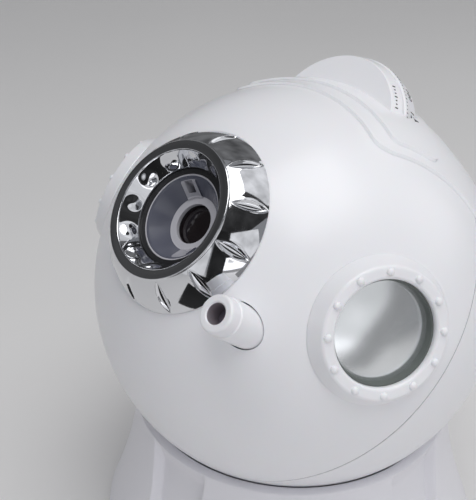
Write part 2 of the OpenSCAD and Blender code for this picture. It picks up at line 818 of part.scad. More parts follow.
// ---- Lamp ----
lamp_z = carrier_back - 24.4;
lamp_thick = 2.5;
lamp_post = [40, 9];
holder_top = carrier_back - 2;
holder_r = condenser_r + 2;
condenser_z = holder_top - 11.4;
led_base_r = 10;
led_cap_r = 4;
led_dome_r = 3.2;
sink_size = 42;
sink_base = 3;
fin_depth = 15;
fin_thick = 1.6;
sink_boss_r = 6.9;

module lamp_frame() {
    color("gainsboro") in_ball() difference() {
        union() {
            plate(lamp_size, lamp_z, lamp_thick, 5);
            for (x = [-1, 1], y = [-1, 1]) translate([x * lamp_post.x, y * lamp_post.y, 0])
                post(3.4, lamp_z + 0.1, chassis_back);
            tube(holder_r, condenser_r + seat, lamp_z + lamp_thick - 0.1, holder_top);
            tube(condenser_r + 0.5, condenser_r - 1.4, lamp_z + lamp_thick - 0.1, condenser_z);
        }
        post(sink_boss_r + 0.1, lamp_z - 1, lamp_z + lamp_thick + 1);
    }
}

module lamp_led() {
    color("gold") in_ball() {
        post(led_base_r, lamp_z + lamp_thick, lamp_z + lamp_thick + 1.6);
        post(led_cap_r, lamp_z + lamp_thick + 1.5, lamp_z + lamp_thick + 2.6);
        intersection() {
            translate([0, 0, lamp_z + lamp_thick + 2.5]) sphere(r = led_dome_r);
            post(led_cap_r, lamp_z + lamp_thick + 2.5, ball_r);
        }
    }
}

module condenser_lens() {
    dome = 26;
    color("lightblue") in_ball() intersection() {
        post(condenser_r, condenser_z + 0.02, holder_top - 0.6);
        translate([0, 0, condenser_z + 9 - dome]) sphere(r = dome);
    }
}

module heat_sink() {
    fins = 7;
    fin_pitch = sink_size / fins;
    color("silver") in_ball() {
        plate([sink_size, sink_size], lamp_z - sink_base, sink_base, 1);
        post(sink_boss_r, lamp_z - 0.1, lamp_z + lamp_thick);
        for (i = [0 : fins - 1]) translate([(i - (fins - 1) / 2) * fin_pitch - fin_thick / 2,
            1 - sink_size / 2, lamp_z - sink_base - fin_depth])
                cube([fin_thick, sink_size - 2, fin_depth + 0.1]);
    }
}

// ---- Portholes ----
port_face_z = ball_r + port_rise;
port_base_z = rise_at(port_base_r);
window_z = port_face_z - window_depth;
port_lip = 1.2;
liner_r = port_open_r - 0.1;
liner_top = port_face_z - 2.3;
window_seat_r = window_r + 0.4;
rivet_ring_r = (port_face_r + port_open_r) / 2 + 0.1;
window_thick = 1.6;
window_bulge = 1.6;

module porthole_ring(side) {
    color(white) in_ball() in_port(side) difference() {
        rotate_extrude() polygon(concat([[port_open_r, window_z - 3],
            [port_hole_r - 0.2, window_z - 3], [port_hole_r - 0.2, port_base_z - 1.6],
            [port_base_r, port_base_z - 1.6], [port_base_r, port_base_z + 0.5]],
            arc(port_face_r - 1.6, port_face_z - 1.6, 1.6, 22, 90, 5),
            arc(port_open_r + port_lip, port_face_z - port_lip, port_lip, 90, 180, 5)));
        difference() {
            sphere(r = ball_r + seat);
            translate([0, 0, -ball_r]) cylinder(r = port_hole_r - 0.2, h = 3 * ball_r);
        }
        at_angles(rivet_count) translate([rivet_ring_r, 0, port_face_z - 2])
            cylinder(r = 0.6, h = 4, $fn = 24);
    }
}

module porthole_ring_right() { porthole_ring(1); }
module porthole_ring_left() { porthole_ring(-1); }

module porthole_rivets() {
    dome = (rivet_r * rivet_r + rivet_rise * rivet_rise) / (2 * rivet_rise);
    color(white) in_ball() for (side = [-1, 1]) in_port(side) at_angles(rivet_count)
        translate([rivet_ring_r, 0, port_face_z]) {
            intersection() {
                translate([0, 0, rivet_rise - dome]) sphere(r = dome, $fn = 32);
                post(rivet_r + 1, 0, rivet_rise + 1);
            }
            post(0.55, -1.6, 0.1);
        }
}

module porthole_liners() {
    color("#4b504e") in_ball() for (side = [-1, 1]) in_port(side)
        rotate_extrude() polygon([[liner_r, window_z - 3], [liner_r, liner_top],
            [liner_r - 0.5, liner_top], [window_r, window_z + 0.1], [window_r, window_z],
            [window_seat_r, window_z], [window_seat_r, window_z - 3]]);
}

module porthole_windows() {
    low = window_z - window_thick;
    dome = (window_r * window_r + window_bulge * window_bulge) / (2 * window_bulge);
    color("silver") in_ball() for (side = [-1, 1]) in_port(side) {
        post(window_seat_r - seat, low, window_z - 0.02);
        intersection() {
            translate([0, 0, window_z + window_bulge - dome]) sphere(r = dome, $fn = 240);
            post(window_r - 0.1, window_z - 1, ball_r);
        }
    }
}

// ---- Meteor tube ----
tube_front = ball_r + tube_reach;
tube_foot_r = tube_r + 2;

module in_tube() {
    translate([tube_side, -tube_drop, 0]) children();
}

module meteor_tube() {
    color(white) in_ball() in_tube() rotate_extrude() polygon(concat(
        [[tube_bore_r, chassis_fwd], [tube_foot_r, chassis_fwd], [tube_foot_r, chassis_fwd + 2],
         [tube_r, chassis_fwd + 2], [tube_r, tube_front - collar_length - 0.5],
         [tube_r - 0.5, tube_front - collar_length]],
        [[collar_r, tube_front - collar_length]],
        arc(collar_r - 0.9, tube_front - 0.9, 0.9, 0, 90, 4),
        [[tube_bore_r + 0.5, tube_front], [tube_bore_r, tube_front - 0.5]]));
}

module meteor_lens() {
    color("thistle") in_ball() in_tube() translate([0, 0, tube_front - 7])
        biconvex(tube_bore_r - 0.02, 2.4, 0.8);
}

module meteor_led() {
    color("white") in_ball() in_tube() {
        post(tube_bore_r - 0.1, chassis_fwd - 1, chassis_fwd + 5);
        intersection() {
            translate([0, 0, chassis_fwd + 5]) sphere(r = tube_bore_r - 0.6);
            post(tube_bore_r, chassis_fwd + 4.9, ball_r);
        }
        for (x = [-1.3, 1.3]) translate([x, 0, 0]) post(0.3, chassis_fwd - 8, chassis_fwd - 0.9);
    }
}

// ---- Board and inlet ----
module main_board() {
    color("seagreen") in_ball() difference() {
        plate(board_size, board_back, board_thick, 3);
        at_board_corners() post(screw_hole_r, board_back - 1, board_back + 3);
    }
}

module board_parts() {
    top = board_back + board_thick;
    color("dimgray") in_ball() {
        translate([-chip_size.x / 2, -chip_size.y / 2, top]) cube(chip_size);
        for (x = [-can_place.x, can_place.x]) translate([x, can_place.y, 0])
            post(can_r, top, top + can_height);
        for (i = [-2.5, -5 / 6, 1]) translate([i * relay_size.x, relay_row, top]) cube(relay_size);
        for (i = [0 : 4]) translate([16 + i * 4, -10, top]) cube([2, 4, 1.2]);
    }
}

module board_screws() {
    color("silver") in_ball() at_board_corners() translate([0, 0, board_back + board_thick])
        screw(screw_r - 0.35, board_thick + screw_bite, screw_head_r - 0.4);
}

module power_inlet() {
    color(black) in_ball() in_inlet() difference() {
        union() {
            tube(inlet_r - 0.1, inlet_r - 1.3, inner_r - inlet_depth - 0.1, ball_r - 0.8);
            translate([-inlet_block.x / 2, -inlet_block.y / 2, inner_r - inlet_depth - inlet_block.z])
                cube(inlet_block);
            post(1, inner_r - inlet_depth - 1, ball_r - 2);
        }
    }
}

// ---- Stand ----
cup_r = ball_r + 1.5;
rim_z = ball_height - cup_r * sin(rim_angle);
rim_in_r = cup_r * cos(rim_angle);
rim_w = 2.4;
flare_power = 1.6;
rim_out_r = rim_in_r + rim_w;
stand_low = pad_foot_h;
foot_lip = 5;
cup_floor = ball_height - cup_r;
leg_angle0 = 45;
pad_thick = cup_r - ball_r - slack;

// Outer profile of a leg, and of the panels that lie in behind it
function flare(t, inset) = rim_out_r + 0.2 + (foot_r - rim_out_r - 0.2) * pow(t, flare_power)
    - inset * min(1, t * 6);

module flare_body(inset, top) {
    n = 10;
    rotate_extrude() polygon(concat([[0, stand_low], [foot_r - inset, stand_low],
        [foot_r - inset, stand_low + foot_lip]],
        [for (i = [n : -1 : 0]) let (t = i / n)
            [flare(t, inset), top - (top - stand_low - foot_lip) * t]],
        [[0, top]]));
}

module leg_wedge() {
    translate([ball_r * 0.35, 0, 0]) rotate([90, 0, 90]) linear_extrude(ball_r) polygon([
        [-leg_foot_w / 2, 0], [leg_foot_w / 2, 0], [leg_top_w / 2, rim_z + 1], [-leg_top_w / 2, rim_z + 1]]);
}

module stand_body() {
    color(white) difference() {
        union() {
            flare_body(panel_depth, rim_z);
            intersection() {
                flare_body(0, rim_z);
                at_angles(leg_count, leg_angle0) leg_wedge();
            }
        }
        translate([0, 0, ball_height]) sphere(r = cup_r);
        stand_hollow();
        at_feet() post(pad_foot_r, 0, stand_low + 1);
    }
}

// The stand is hollow between the cup and its outer wall
module stand_hollow() {
    inset = panel_depth + stand_wall;
    top = cup_floor - stand_wall;
    lid_z = stand_low + 3;
    n = 8;
    difference() {
        rotate_extrude() polygon(concat([[0, stand_low - 1], [base_r + 0.2, stand_low - 1],
            [base_r + 0.2, lid_z], [base_r - 3, lid_z]],
            [for (i = [n : -1 : 0]) let (t = i / n, z = rim_z - 14 - (rim_z - 14 - lid_z - 2) * t)
                [min(base_r - 3, flare((rim_z - z) / (rim_z - stand_low - foot_lip), inset)), z]],
            [[0, rim_z - 14]]));
        translate([0, 0, ball_height]) sphere(r = cup_r + stand_wall);
        at_base_screws() post(4.4, stand_low + base_thick + 0.1, ball_height);
        at_feet() post(pad_foot_r + 2, 0, stand_low + 3.4);
    }
    at_base_screws() post(screw_r - 0.1, 0, stand_low + 14);
}

base_r = foot_r - 2 * pad_foot_r - 5.5;
base_screw_r = base_r - 9;
base_thick = 2.6;

module at_base_screws() {
    at_angles(4) translate([base_screw_r, 0, 0]) children();
}

module at_feet() {
    at_angles(leg_count, leg_angle0) translate([foot_r - pad_foot_r - 2, 0, 0]) children();
}

module base_plate() {
    color("#d9d9dc") difference() {
        post(base_r, stand_low, stand_low + base_thick);
        at_base_screws() {
            post(screw_hole_r, 0, stand_low + 4);
            post(screw_head_r + 0.4, stand_low - 1, stand_low + 1.2);
        }
    }
}

module base_screws() {
    color("silver") at_base_screws() translate([0, 0, stand_low + 1.2]) mirror([0, 0, 1])
        screw(screw_r - 0.15, 11, screw_head_r, 1.1);
}

module rubber_feet() {
    color(black) at_feet() {
        post(pad_foot_r - 0.1, 0, stand_low + 1);
    }
}

module cradle_pads() {
    color("#55565a") intersection() {
        difference() {
            translate([0, 0, ball_height]) sphere(r = cup_r - seat);
            translate([0, 0, ball_height]) sphere(r = ball_r + slack);
        }
        at_angles(leg_count, leg_angle0) translate([rim_in_r * 0.86, 0, rim_z - 14])
            post(6, -20, 10.5);
    }
}

front_shell();
rear_shell();
shell_screws();
saddle_lower();
saddle_top();
timer_dial();
dial_bracket();
timer_switch();
focus_ring();
focus_cam();
ring_retainer();
guide_tube();
lens_barrel();
front_lens();
rear_lens();
lens_lock_ring();
chassis_plate();
chassis_screws();
disc_carrier();
star_disc();
carrier_clips();
drive_pinion();
motor_shaft();
drive_motor();
motor_plate();
lamp_frame();
lamp_led();
condenser_lens();
heat_sink();
porthole_ring_right();
porthole_ring_left();
porthole_rivets();
porthole_liners();
porthole_windows();
meteor_tube();
meteor_lens();
meteor_led();
main_board();
board_parts();
board_screws();
power_inlet();
stand_body();
cradle_pads();
base_plate();
base_screws();
rubber_feet();
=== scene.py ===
import math

import bmesh
import bpy
from mathutils import Matrix, Vector


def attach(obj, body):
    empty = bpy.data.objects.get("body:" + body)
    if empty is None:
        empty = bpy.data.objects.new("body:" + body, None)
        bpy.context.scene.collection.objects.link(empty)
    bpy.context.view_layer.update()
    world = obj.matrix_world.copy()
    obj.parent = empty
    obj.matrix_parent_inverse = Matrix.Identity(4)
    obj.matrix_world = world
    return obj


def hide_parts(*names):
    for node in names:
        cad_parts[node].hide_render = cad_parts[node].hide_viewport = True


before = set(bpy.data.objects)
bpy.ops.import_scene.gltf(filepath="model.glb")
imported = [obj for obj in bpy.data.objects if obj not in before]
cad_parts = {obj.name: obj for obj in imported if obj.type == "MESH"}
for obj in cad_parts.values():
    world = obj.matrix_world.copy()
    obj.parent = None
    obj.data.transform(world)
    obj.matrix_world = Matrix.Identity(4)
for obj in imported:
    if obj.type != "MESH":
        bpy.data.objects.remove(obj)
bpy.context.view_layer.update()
scene = bpy.context.scene
print("frame loaded:", len(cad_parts), "nodes")

# The ball's own frame: +Z along the lens, +Y to its top, as the shells were moulded
ball = {
    "centre": (0.0, 0.0, 0.120),
    "lensPitch": 42.0,  # degrees over the horizontal
    "portAngle": 60.0,
}
toBall = Matrix.Translation(ball["centre"]) @ Matrix.Rotation(math.radians(90 - ball["lensPitch"]), 4, "X")
lensTurn = (math.radians(90 - ball["lensPitch"]), 0.0, 0.0)
millimetre = 0.001

# Camera, solved from the ball's outline, the rings and the legs in the photograph
camera = {
    "position": (0.2128, -0.2208, 0.3169),
    "forward": (-0.6416, 0.5726, -0.5103),
    "lensMm": 64.8,
    "sensorMm": 36.0,
}


def lookAlong(position, forward):
    forward = Vector(forward).normalized()
    right = forward.cross(Vector((0, 0, 1))).normalized()
    up = right.cross(forward)
    turn = Matrix((right, up, -forward)).transposed().to_4x4()
    return Matrix.Translation(position) @ turn


cameraData = bpy.data.cameras.new("camera")
cameraData.lens = camera["lensMm"]
cameraData.sensor_width = camera["sensorMm"]
cameraData.clip_start = 0.01
cameraData.clip_end = 50
cameraObject = bpy.data.objects.new("camera", cameraData)
scene.collection.objects.link(cameraObject)
cameraObject.matrix_world = lookAlong(camera["position"], camera["forward"])
scene.camera = cameraObject
print("camera set")


def linearColour(hexColour):
    channels = [int(hexColour[i:i + 2], 16) / 255 for i in (1, 3, 5)]
    return tuple(c / 12.92 if c <= 0.04045 else ((c + 0.055) / 1.055) ** 2.4 for c in channels) + (1.0,)


def feed(tree, node, inputs):
    # an input is a plain value, or the output of another node
    for socket, value in inputs.items():
        if isinstance(value, bpy.types.NodeSocket):
            tree.links.new(value, node.inputs[socket])
        else:
            node.inputs[socket].default_value = value


def addNode(tree, kind, inputs={}, **settings):
    node = tree.nodes.new(kind)
    for name, value in settings.items():
        setattr(node, name, value)
    feed(tree, node, inputs)
    return node


def calculate(tree, operation, *terms):
    return addNode(tree, "ShaderNodeMath", dict(enumerate(terms)), operation=operation).outputs[0]


def vectorOf(tree, x=0.0, y=0.0, z=0.0):
    return addNode(tree, "ShaderNodeCombineXYZ", {"X": x, "Y": y, "Z": z}).outputs["Vector"]


def axesOf(tree, vector):
    return addNode(tree, "ShaderNodeSeparateXYZ", {"Vector": vector}).outputs


def ranged(tree, value, source, target):
    return addNode(tree, "ShaderNodeMapRange", {"Value": value, "From Min": source[0], "From Max": source[1],
                                                "To Min": target[0], "To Max": target[1]}).outputs["Result"]


def blended(tree, share, first, second):
    return addNode(tree, "ShaderNodeMix", {0: share, 6: first, 7: second}, data_type="RGBA").outputs[2]


def noise(tree, place, sizeMm, detail, roughness=0.5):
    return addNode(tree, "ShaderNodeTexNoise", {"Vector": place, "Scale": 1 / (sizeMm * millimetre),
                                                "Detail": detail, "Roughness": roughness}).outputs["Fac"]


def bumped(tree, height, strength, depthMm):
    return addNode(tree, "ShaderNodeBump", {"Height": height, "Strength": strength,
                                            "Distance": depthMm * millimetre}).outputs["Normal"]


def ballPlace(tree, place):
    # from the object's frame to the ball's own
    local = addNode(tree, "ShaderNodeMapping", {"Vector": place, "Location": ball["centre"],
                                                "Rotation": lensTurn}, vector_type="TEXTURE")
    return local.outputs["Vector"]


def startMaterial(name, values):
    material = bpy.data.materials.new(name)
    material.use_nodes = True
    tree = material.node_tree
    shader = tree.nodes["Principled BSDF"]
    feed(tree, shader, values)
    place = addNode(tree, "ShaderNodeTexCoord").outputs["Object"]  # metres, in the object's own frame
    return material, tree, shader, place


# Two sizes of noise make the skin of a moulding: a fine one for the tool's finish, a broad one for its wear
def moulded(name, skin):
    material, tree, shader, place = startMaterial(name, skin["values"])
    fine = noise(tree, place, skin["finishMm"], 2.0)
    broad = noise(tree, place, skin["broadMm"], 3.0, 0.55)
    tint = addNode(tree, "ShaderNodeValToRGB", {"Fac": broad})
    for element, position, colour in zip(tint.color_ramp.elements, (0.20, 0.80), skin["colours"]):
        element.position = position
        element.color = linearColour(colour)
    feed(tree, shader, {"Base Color": tint.outputs["Color"],
                        "Roughness": ranged(tree, broad, (0.25, 0.75), skin["roughness"]),
                        "Normal": bumped(tree, fine, skin["finishDepth"], 0.02)})
    return material, tree, shader, place, tint.outputs["Color"]


# Injection-moulded ABS, polished tool: a bright soft sheen, with a very slight orange peel
whiteSkin = {
    "values": {"IOR": 1.54, "Subsurface Weight": 0.06, "Subsurface Scale": 0.8 * millimetre},
    "colours": ("#f0f0f3", "#f2f2f5"), "roughness": (0.27, 0.30),
    "finishMm": 1.1, "finishDepth": 0.2, "broadMm": 60,
}
# Satin slate ABS: a cool sheen
slateSkin = {
    "values": {"IOR": 1.54},
    "colours": ("#565864", "#60626f"), "roughness": (0.20, 0.30),
    "finishMm": 0.6, "finishDepth": 0.2, "broadMm": 16,
}
plainSkins = {
    "glossAbs": whiteSkin,
    # The same ABS from a tool with a finer satin finish, for the stand: a broader, duller sheen
    "satinAbs": {
        "values": {"IOR": 1.54}, "colours": ("#ebeaef", "#eeedf2"), "roughness": (0.36, 0.41),
        "finishMm": 0.5, "finishDepth": 0.3, "broadMm": 60,
    },
    # Black ABS straight from a spark-eroded tool: a fine grain that takes the shine off
    "grainedBlackAbs": {
        "values": {"IOR": 1.54}, "colours": ("#141416", "#1c1c1f"), "roughness": (0.42, 0.58),
        "finishMm": 0.25, "finishDepth": 0.6, "broadMm": 12,
    },
    # Talc-filled polypropylene of the inner frames: dull mid grey
    "greyPolypropylene": {
        "values": {"IOR": 1.49}, "colours": ("#97989a", "#a3a4a6"), "roughness": (0.48, 0.62),
        "finishMm": 0.4, "finishDepth": 0.5, "broadMm": 20,
    },
    # Natural acetal of the gears: milky and slippery
    "acetal": {
        "values": {"IOR": 1.48, "Subsurface Weight": 0.2, "Subsurface Scale": 1.0 * millimetre},
        "colours": ("#e2dfd2", "#ebe8dc"), "roughness": (0.32, 0.42),
        "finishMm": 0.5, "finishDepth": 0.3, "broadMm": 15,
    },
    # Painted inside of the porthole collars: dark green-grey, matt
    "linerPaint": {
        "values": {"IOR": 1.50}, "colours": ("#5b615e", "#656b68"), "roughness": (0.50, 0.62),
        "finishMm": 0.3, "finishDepth": 0.4, "broadMm": 10,
    },
    # Solder mask over copper: glossy green lacquer
    "solderMask": {
        "values": {"IOR": 1.52}, "colours": ("#0f4a2a", "#14572f"), "roughness": (0.22, 0.34),
        "finishMm": 1.6, "finishDepth": 0.5, "broadMm": 9,
    },
    # Epoxy bodies of the board's parts
    "blackEpoxy": {
        "values": {"IOR": 1.55}, "colours": ("#161617", "#202022"), "roughness": (0.40, 0.55),
        "finishMm": 0.3, "finishDepth": 0.5, "broadMm": 6,
    },
    # Clear-yellow silicone and epoxy of the lamps
    "lampEpoxy": {
        "values": {"IOR": 1.50, "Subsurface Weight": 0.3, "Subsurface Scale": 1.0 * millimetre},
        "colours": ("#e6d98e", "#efe6ab"), "roughness": (0.10, 0.18),
        "finishMm": 1.0, "finishDepth": 0.1, "broadMm": 6,
    },
    # Moulded nitrile rubber: near black, dull, with a dusty bloom
    "nitrileRubber": {
        "values": {"IOR": 1.52, "Sheen Weight": 0.12},
        "colours": ("#1b1b1c", "#262627"), "roughness": (0.62, 0.80),
        "finishMm": 0.35, "finishDepth": 0.7, "broadMm": 8,
    },
    # Zinc-plated steel of the screws and the motor: grey, with fine turning marks
    "zincSteel": {
        "values": {"Metallic": 1.0}, "colours": ("#a9acb0", "#b9bcc0"), "roughness": (0.26, 0.40),
        "finishMm": 0.2, "finishDepth": 0.6, "broadMm": 4,
    },
    # Extruded aluminium of the heat sink: bright satin with drawn lines
    "extrudedAluminium": {
        "values": {"Metallic": 1.0}, "colours": ("#c3c5c8", "#d0d2d5"), "roughness": (0.30, 0.42),
        "finishMm": 0.25, "finishDepth": 0.6, "broadMm": 12,
    },
    # Vacuum-metallised acrylic of the porthole windows: silvery, slightly brushed by its hard coat
    "metallisedAcrylic": {
        "values": {"Metallic": 0.92}, "colours": ("#e2e5e6", "#e8eaeb"), "roughness": (0.17, 0.21),
        "finishMm": 2.5, "finishDepth": 0.3, "broadMm": 14,
    },
    # Frosted lens of the meteor tube: milky and plum grey
    "frostedGlass": {
        "values": {"IOR": 1.52, "Transmission Weight": 0.25},
        "colours": ("#8b8290", "#958c99"), "roughness": (0.32, 0.42),
        "finishMm": 0.4, "finishDepth": 0.2, "broadMm": 3,
    },
    # Bloomed front lens: coloured near black, faintly brown, as painted shade for the dark barrel behind it,
    # with one hard gloss
    "bloomedGlass": {
        "values": {"IOR": 1.60, "Coat Weight": 0.3, "Coat Roughness": 0.02},
        "colours": ("#171214", "#1e1719"), "roughness": (0.02, 0.05),
        "finishMm": 3.0, "finishDepth": 0.02, "broadMm": 6,
    },
    # Pad-printed ink on the dial, its cheek and the plate: thin, dark and dull
    "printingInk": {
        "values": {"IOR": 1.50}, "colours": ("#2b2b2f", "#36363b"), "roughness": (0.45, 0.60),
        "finishMm": 0.2, "finishDepth": 0.3, "broadMm": 3,
    },
}


# The ball's two shells, of the white ABS, with painted shade darkening a band along their seam
def shellAbs(paintedSeamShade):
    material, tree, shader, place, tint = moulded("shellAbs", whiteSkin)
    forward = axesOf(tree, ballPlace(tree, place))["Z"]
    away = calculate(tree, "SUBTRACT", forward, paintedSeamShade["forward"] * millimetre)
    # painted shade: the colour darkens towards the seam's plane
    shade = ranged(tree, calculate(tree, "ABSOLUTE", away),
                   (paintedSeamShade["half"] * millimetre, paintedSeamShade["half"] * paintedSeamShade["core"] * millimetre), (0.0, 1.0))
    feed(tree, shader, {"Base Color": blended(tree, shade, tint, linearColour(paintedSeamShade["hex"]))})
    return material


# The meteor tube's white ABS. Its bore is coloured a dull plum grey, darker than the rest
def tubeAbs(tube):
    material, tree, shader, place, tint = moulded("tubeAbs", whiteSkin)
    axes = axesOf(tree, ballPlace(tree, place))
    away = addNode(tree, "ShaderNodeVectorMath",
                   {0: vectorOf(tree, axes["X"], axes["Y"]),
                    1: (tube["side"] * millimetre, -tube["drop"] * millimetre, 0.0)}, operation="DISTANCE")
    bore = calculate(tree, "LESS_THAN", away.outputs["Value"], tube["boreR"] * millimetre)
    feed(tree, shader, {"Base Color": blended(tree, bore, tint, linearColour(tube["hex"]))})
    return material


# Slate ABS of the lens barrel: its surround and spokes are printed pale grey, and a painted highlight lies
# bright along the rim's edge
def barrelAbs(barrel):
    material, tree, shader, place, tint = moulded("barrelAbs", slateSkin)
    turned = addNode(tree, "ShaderNodeVectorRotate",
                     {"Vector": ballPlace(tree, place), "Angle": -math.radians(barrel["spokePhase"])},
                     rotation_type="Z_AXIS")
    axes = axesOf(tree, turned.outputs["Vector"])
    radius = addNode(tree, "ShaderNodeVectorMath", {0: vectorOf(tree, axes["X"], axes["Y"])},
                     operation="LENGTH").outputs["Value"]

    def under(value, size):
        return calculate(tree, "LESS_THAN", value, barrel[size] * millimetre)

    def over(value, size):
        return calculate(tree, "GREATER_THAN", value, barrel[size] * millimetre)

    arm = calculate(tree, "MULTIPLY", under(calculate(tree, "ABSOLUTE", axes["X"]), "spokeHalf"),
                    under(radius, "spokeEndR"))
    faint = calculate(tree, "MULTIPLY", arm, barrel["spokeTone"])
    band = calculate(tree, "MULTIPLY", under(axes["Z"], "printFront"), over(axes["Z"], "printBack"))
    printed = calculate(tree, "MULTIPLY", calculate(tree, "MAXIMUM", under(radius, "surroundR"), faint), band)
    # painted highlight: the rim's edge is coloured pale where it would catch the light
    paintedRimHighlight = calculate(tree, "MULTIPLY", over(radius, "rimR"), over(axes["Z"], "paintedHighlightFrom"))
    printAndPaintedHighlight = blended(tree, calculate(tree, "MAXIMUM", printed, paintedRimHighlight), tint, linearColour(barrel["hex"]))
    feed(tree, shader, {"Base Color": printAndPaintedHighlight})
    return material


# Chromium plated on polished ABS: a mirror that bends the room a little, with faint wiping haze
def platedAbs():
    material, tree, shader, place = startMaterial("platedAbs", {"Metallic": 1.0,
                                                                "Base Color": linearColour("#dfe0e3")})
    haze = noise(tree, place, 9, 4.0)
    wave = noise(tree, place, 7, 1.0)
    feed(tree, shader, {"Roughness": ranged(tree, haze, (0.4, 0.8), (0.035, 0.10)),
                        "Normal": bumped(tree, wave, 0.5, 0.03)})
    return material


# Polyester film between the star disc's clear layers: deep blue-black with a hard gloss
def starFilm():
    material, tree, shader, place = startMaterial("starFilm", {"IOR": 1.58, "Roughness": 0.08})
    cells = addNode(tree, "ShaderNodeTexVoronoi", {"Vector": place, "Scale": 1 / (1.6 * millimetre),
                                                   "Randomness": 1.0})
    dots = calculate(tree, "LESS_THAN", cells.outputs["Distance"], 0.10)
    feed(tree, shader, {"Base Color": blended(tree, dots, linearColour("#06070f"), linearColour("#b9c3dd"))})
    return material


# Ground and bloomed optical glass: clear, with a dark barrel behind it
def lensGlass():
    material, tree, shader, place = startMaterial("lensGlass", {"IOR": 1.52, "Transmission Weight": 1.0,
                                                                "Base Color": linearColour("#c9ccd6")})
    feed(tree, shader, {"Roughness": ranged(tree, noise(tree, place, 1.5, 3.0), (0.5, 0.9), (0.01, 0.06))})
    return material


barrelPrintAndHighlight = {
    "surroundR": 9.9,
    "spokePhase": 30.0,  # from the ball's top towards the left porthole
    "spokeHalf": 3.0,
    "spokeEndR": 14.2,
    "spokeTone": 0.55,
    "printBack": 66.0,
    "printFront": 75.2,
    # the painted highlight on the rim starts at this radius and height
    "rimR": 15.1,
    "paintedHighlightFrom": 75.6,
    "hex": "#c9c8ce",
}
# where the painted shade along the shells' seam lies, its width and its colour
shellSeamPaintedShade = {"forward": 9.6, "half": 0.40, "core": 0.4, "hex": "#9c9da1"}
tubeBore = {"side": 37.9, "drop": 20.7, "boreR": 3.58, "hex": "#8d868c"}
materials = {name: moulded(name, skin)[0] for name, skin in plainSkins.items()}
materials.update({
    "shellAbs": shellAbs(shellSeamPaintedShade), "tubeAbs": tubeAbs(tubeBore), "barrelAbs": barrelAbs(barrelPrintAndHighlight),
    "platedAbs": platedAbs(), "starFilm": starFilm(), "lensGlass": lensGlass(),
})
finishOf = {
    "shellAbs": ["front_shell", "rear_shell"],
    "glossAbs": ["saddle_lower", "saddle_top", "timer_dial", "porthole_ring_right", "porthole_ring_left",
                 "porthole_rivets"],
    "tubeAbs": ["meteor_tube"],
    "satinAbs": ["stand_body", "base_plate"],
    "platedAbs": ["focus_ring"],
    "barrelAbs": ["lens_barrel"],
    "grainedBlackAbs": ["focus_cam", "ring_retainer", "guide_tube", "lens_lock_ring", "power_inlet",
                        "timer_switch"],
    "greyPolypropylene": ["chassis_plate", "dial_bracket", "carrier_clips", "lamp_frame"],
    "acetal": ["disc_carrier", "drive_pinion"],
    "linerPaint": ["porthole_liners"],
    "solderMask": ["main_board"],
    "blackEpoxy": ["board_parts"],
    "lampEpoxy": ["lamp_led", "meteor_led"],
    "nitrileRubber": ["cradle_pads", "rubber_feet"],
    "starFilm": ["star_disc"],
    "zincSteel": ["shell_screws", "chassis_screws", "board_screws", "base_screws", "motor_shaft",
                  "drive_motor", "motor_plate"],
    "extrudedAluminium": ["heat_sink"],
    "metallisedAcrylic": ["porthole_windows"],
    "lensGlass": ["rear_lens", "condenser_lens"],
    "bloomedGlass": ["front_lens"],
    "frostedGlass": ["meteor_lens"],
}
for finish, nodes in finishOf.items():
    for node in nodes:
        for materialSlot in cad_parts[node].material_slots:
            materialSlot.material = materials[finish]
print("materials on", sum(len(nodes) for nodes in finishOf.values()), "nodes")


def linkPiece(name, mesh, finish):
    if finish:
        mesh.materials.clear()
        mesh.materials.append(materials[finish])
    piece = bpy.data.objects.new(name, mesh)
    scene.collection.objects.link(piece)
    return piece


def closeInto(mesh, sources):
    # welds what meets, such as a turning's poles, and turns the faces outward
    work = bmesh.new()
    for source in sources:
        work.from_mesh(source)
    bmesh.ops.remove_doubles(work, verts=work.verts, dist=1e-7)
    bmesh.ops.recalc_face_normals(work, faces=work.faces)
    work.to_mesh(mesh)
    work.free()
    return mesh


def joinMeshes(name, meshes):
    return closeInto(bpy.data.meshes.new(name), meshes)


# Focus ring: one closed turning about the lens axis. Leaf-shaped flutes are pressed into its slope, and low
# domes stand in its dish between them. Sizes in millimetres
focusRing = {
    "baseR": 33.3, "baseZ": 73.09, "frontR": 25.0, "frontZ": 84.24,
    "lipR": 21.4, "dishR": 17.55, "dishZ": 77.54,
    "slopeBulge": 0.7, "outerRound": 0.5, "innerRound": 0.35, "dishFoot": 0.15, "baseRound": 0.3,
    "sleeveR": 20.1, "sleeveTop": 76.34, "sleeveLow": 74.34,
    "spigotR": 30.7, "spigotInR": 28.1, "spigotEnd": 67.03, "spigotRoot": 72.04, "seatR": 80.3,
    "count": 12, "phase": 87.5,
    "fluteLength": 12.0, "fluteWidth": 3.7, "fluteDepth": 1.15, "fluteLip": 0.10, "lipSpread": 0.35,
    "domeR": 3.8, "domeRise": 0.45,
    "slopeRows": 46, "dishRows": 26, "roundRows": 6, "seatRows": 3,
}


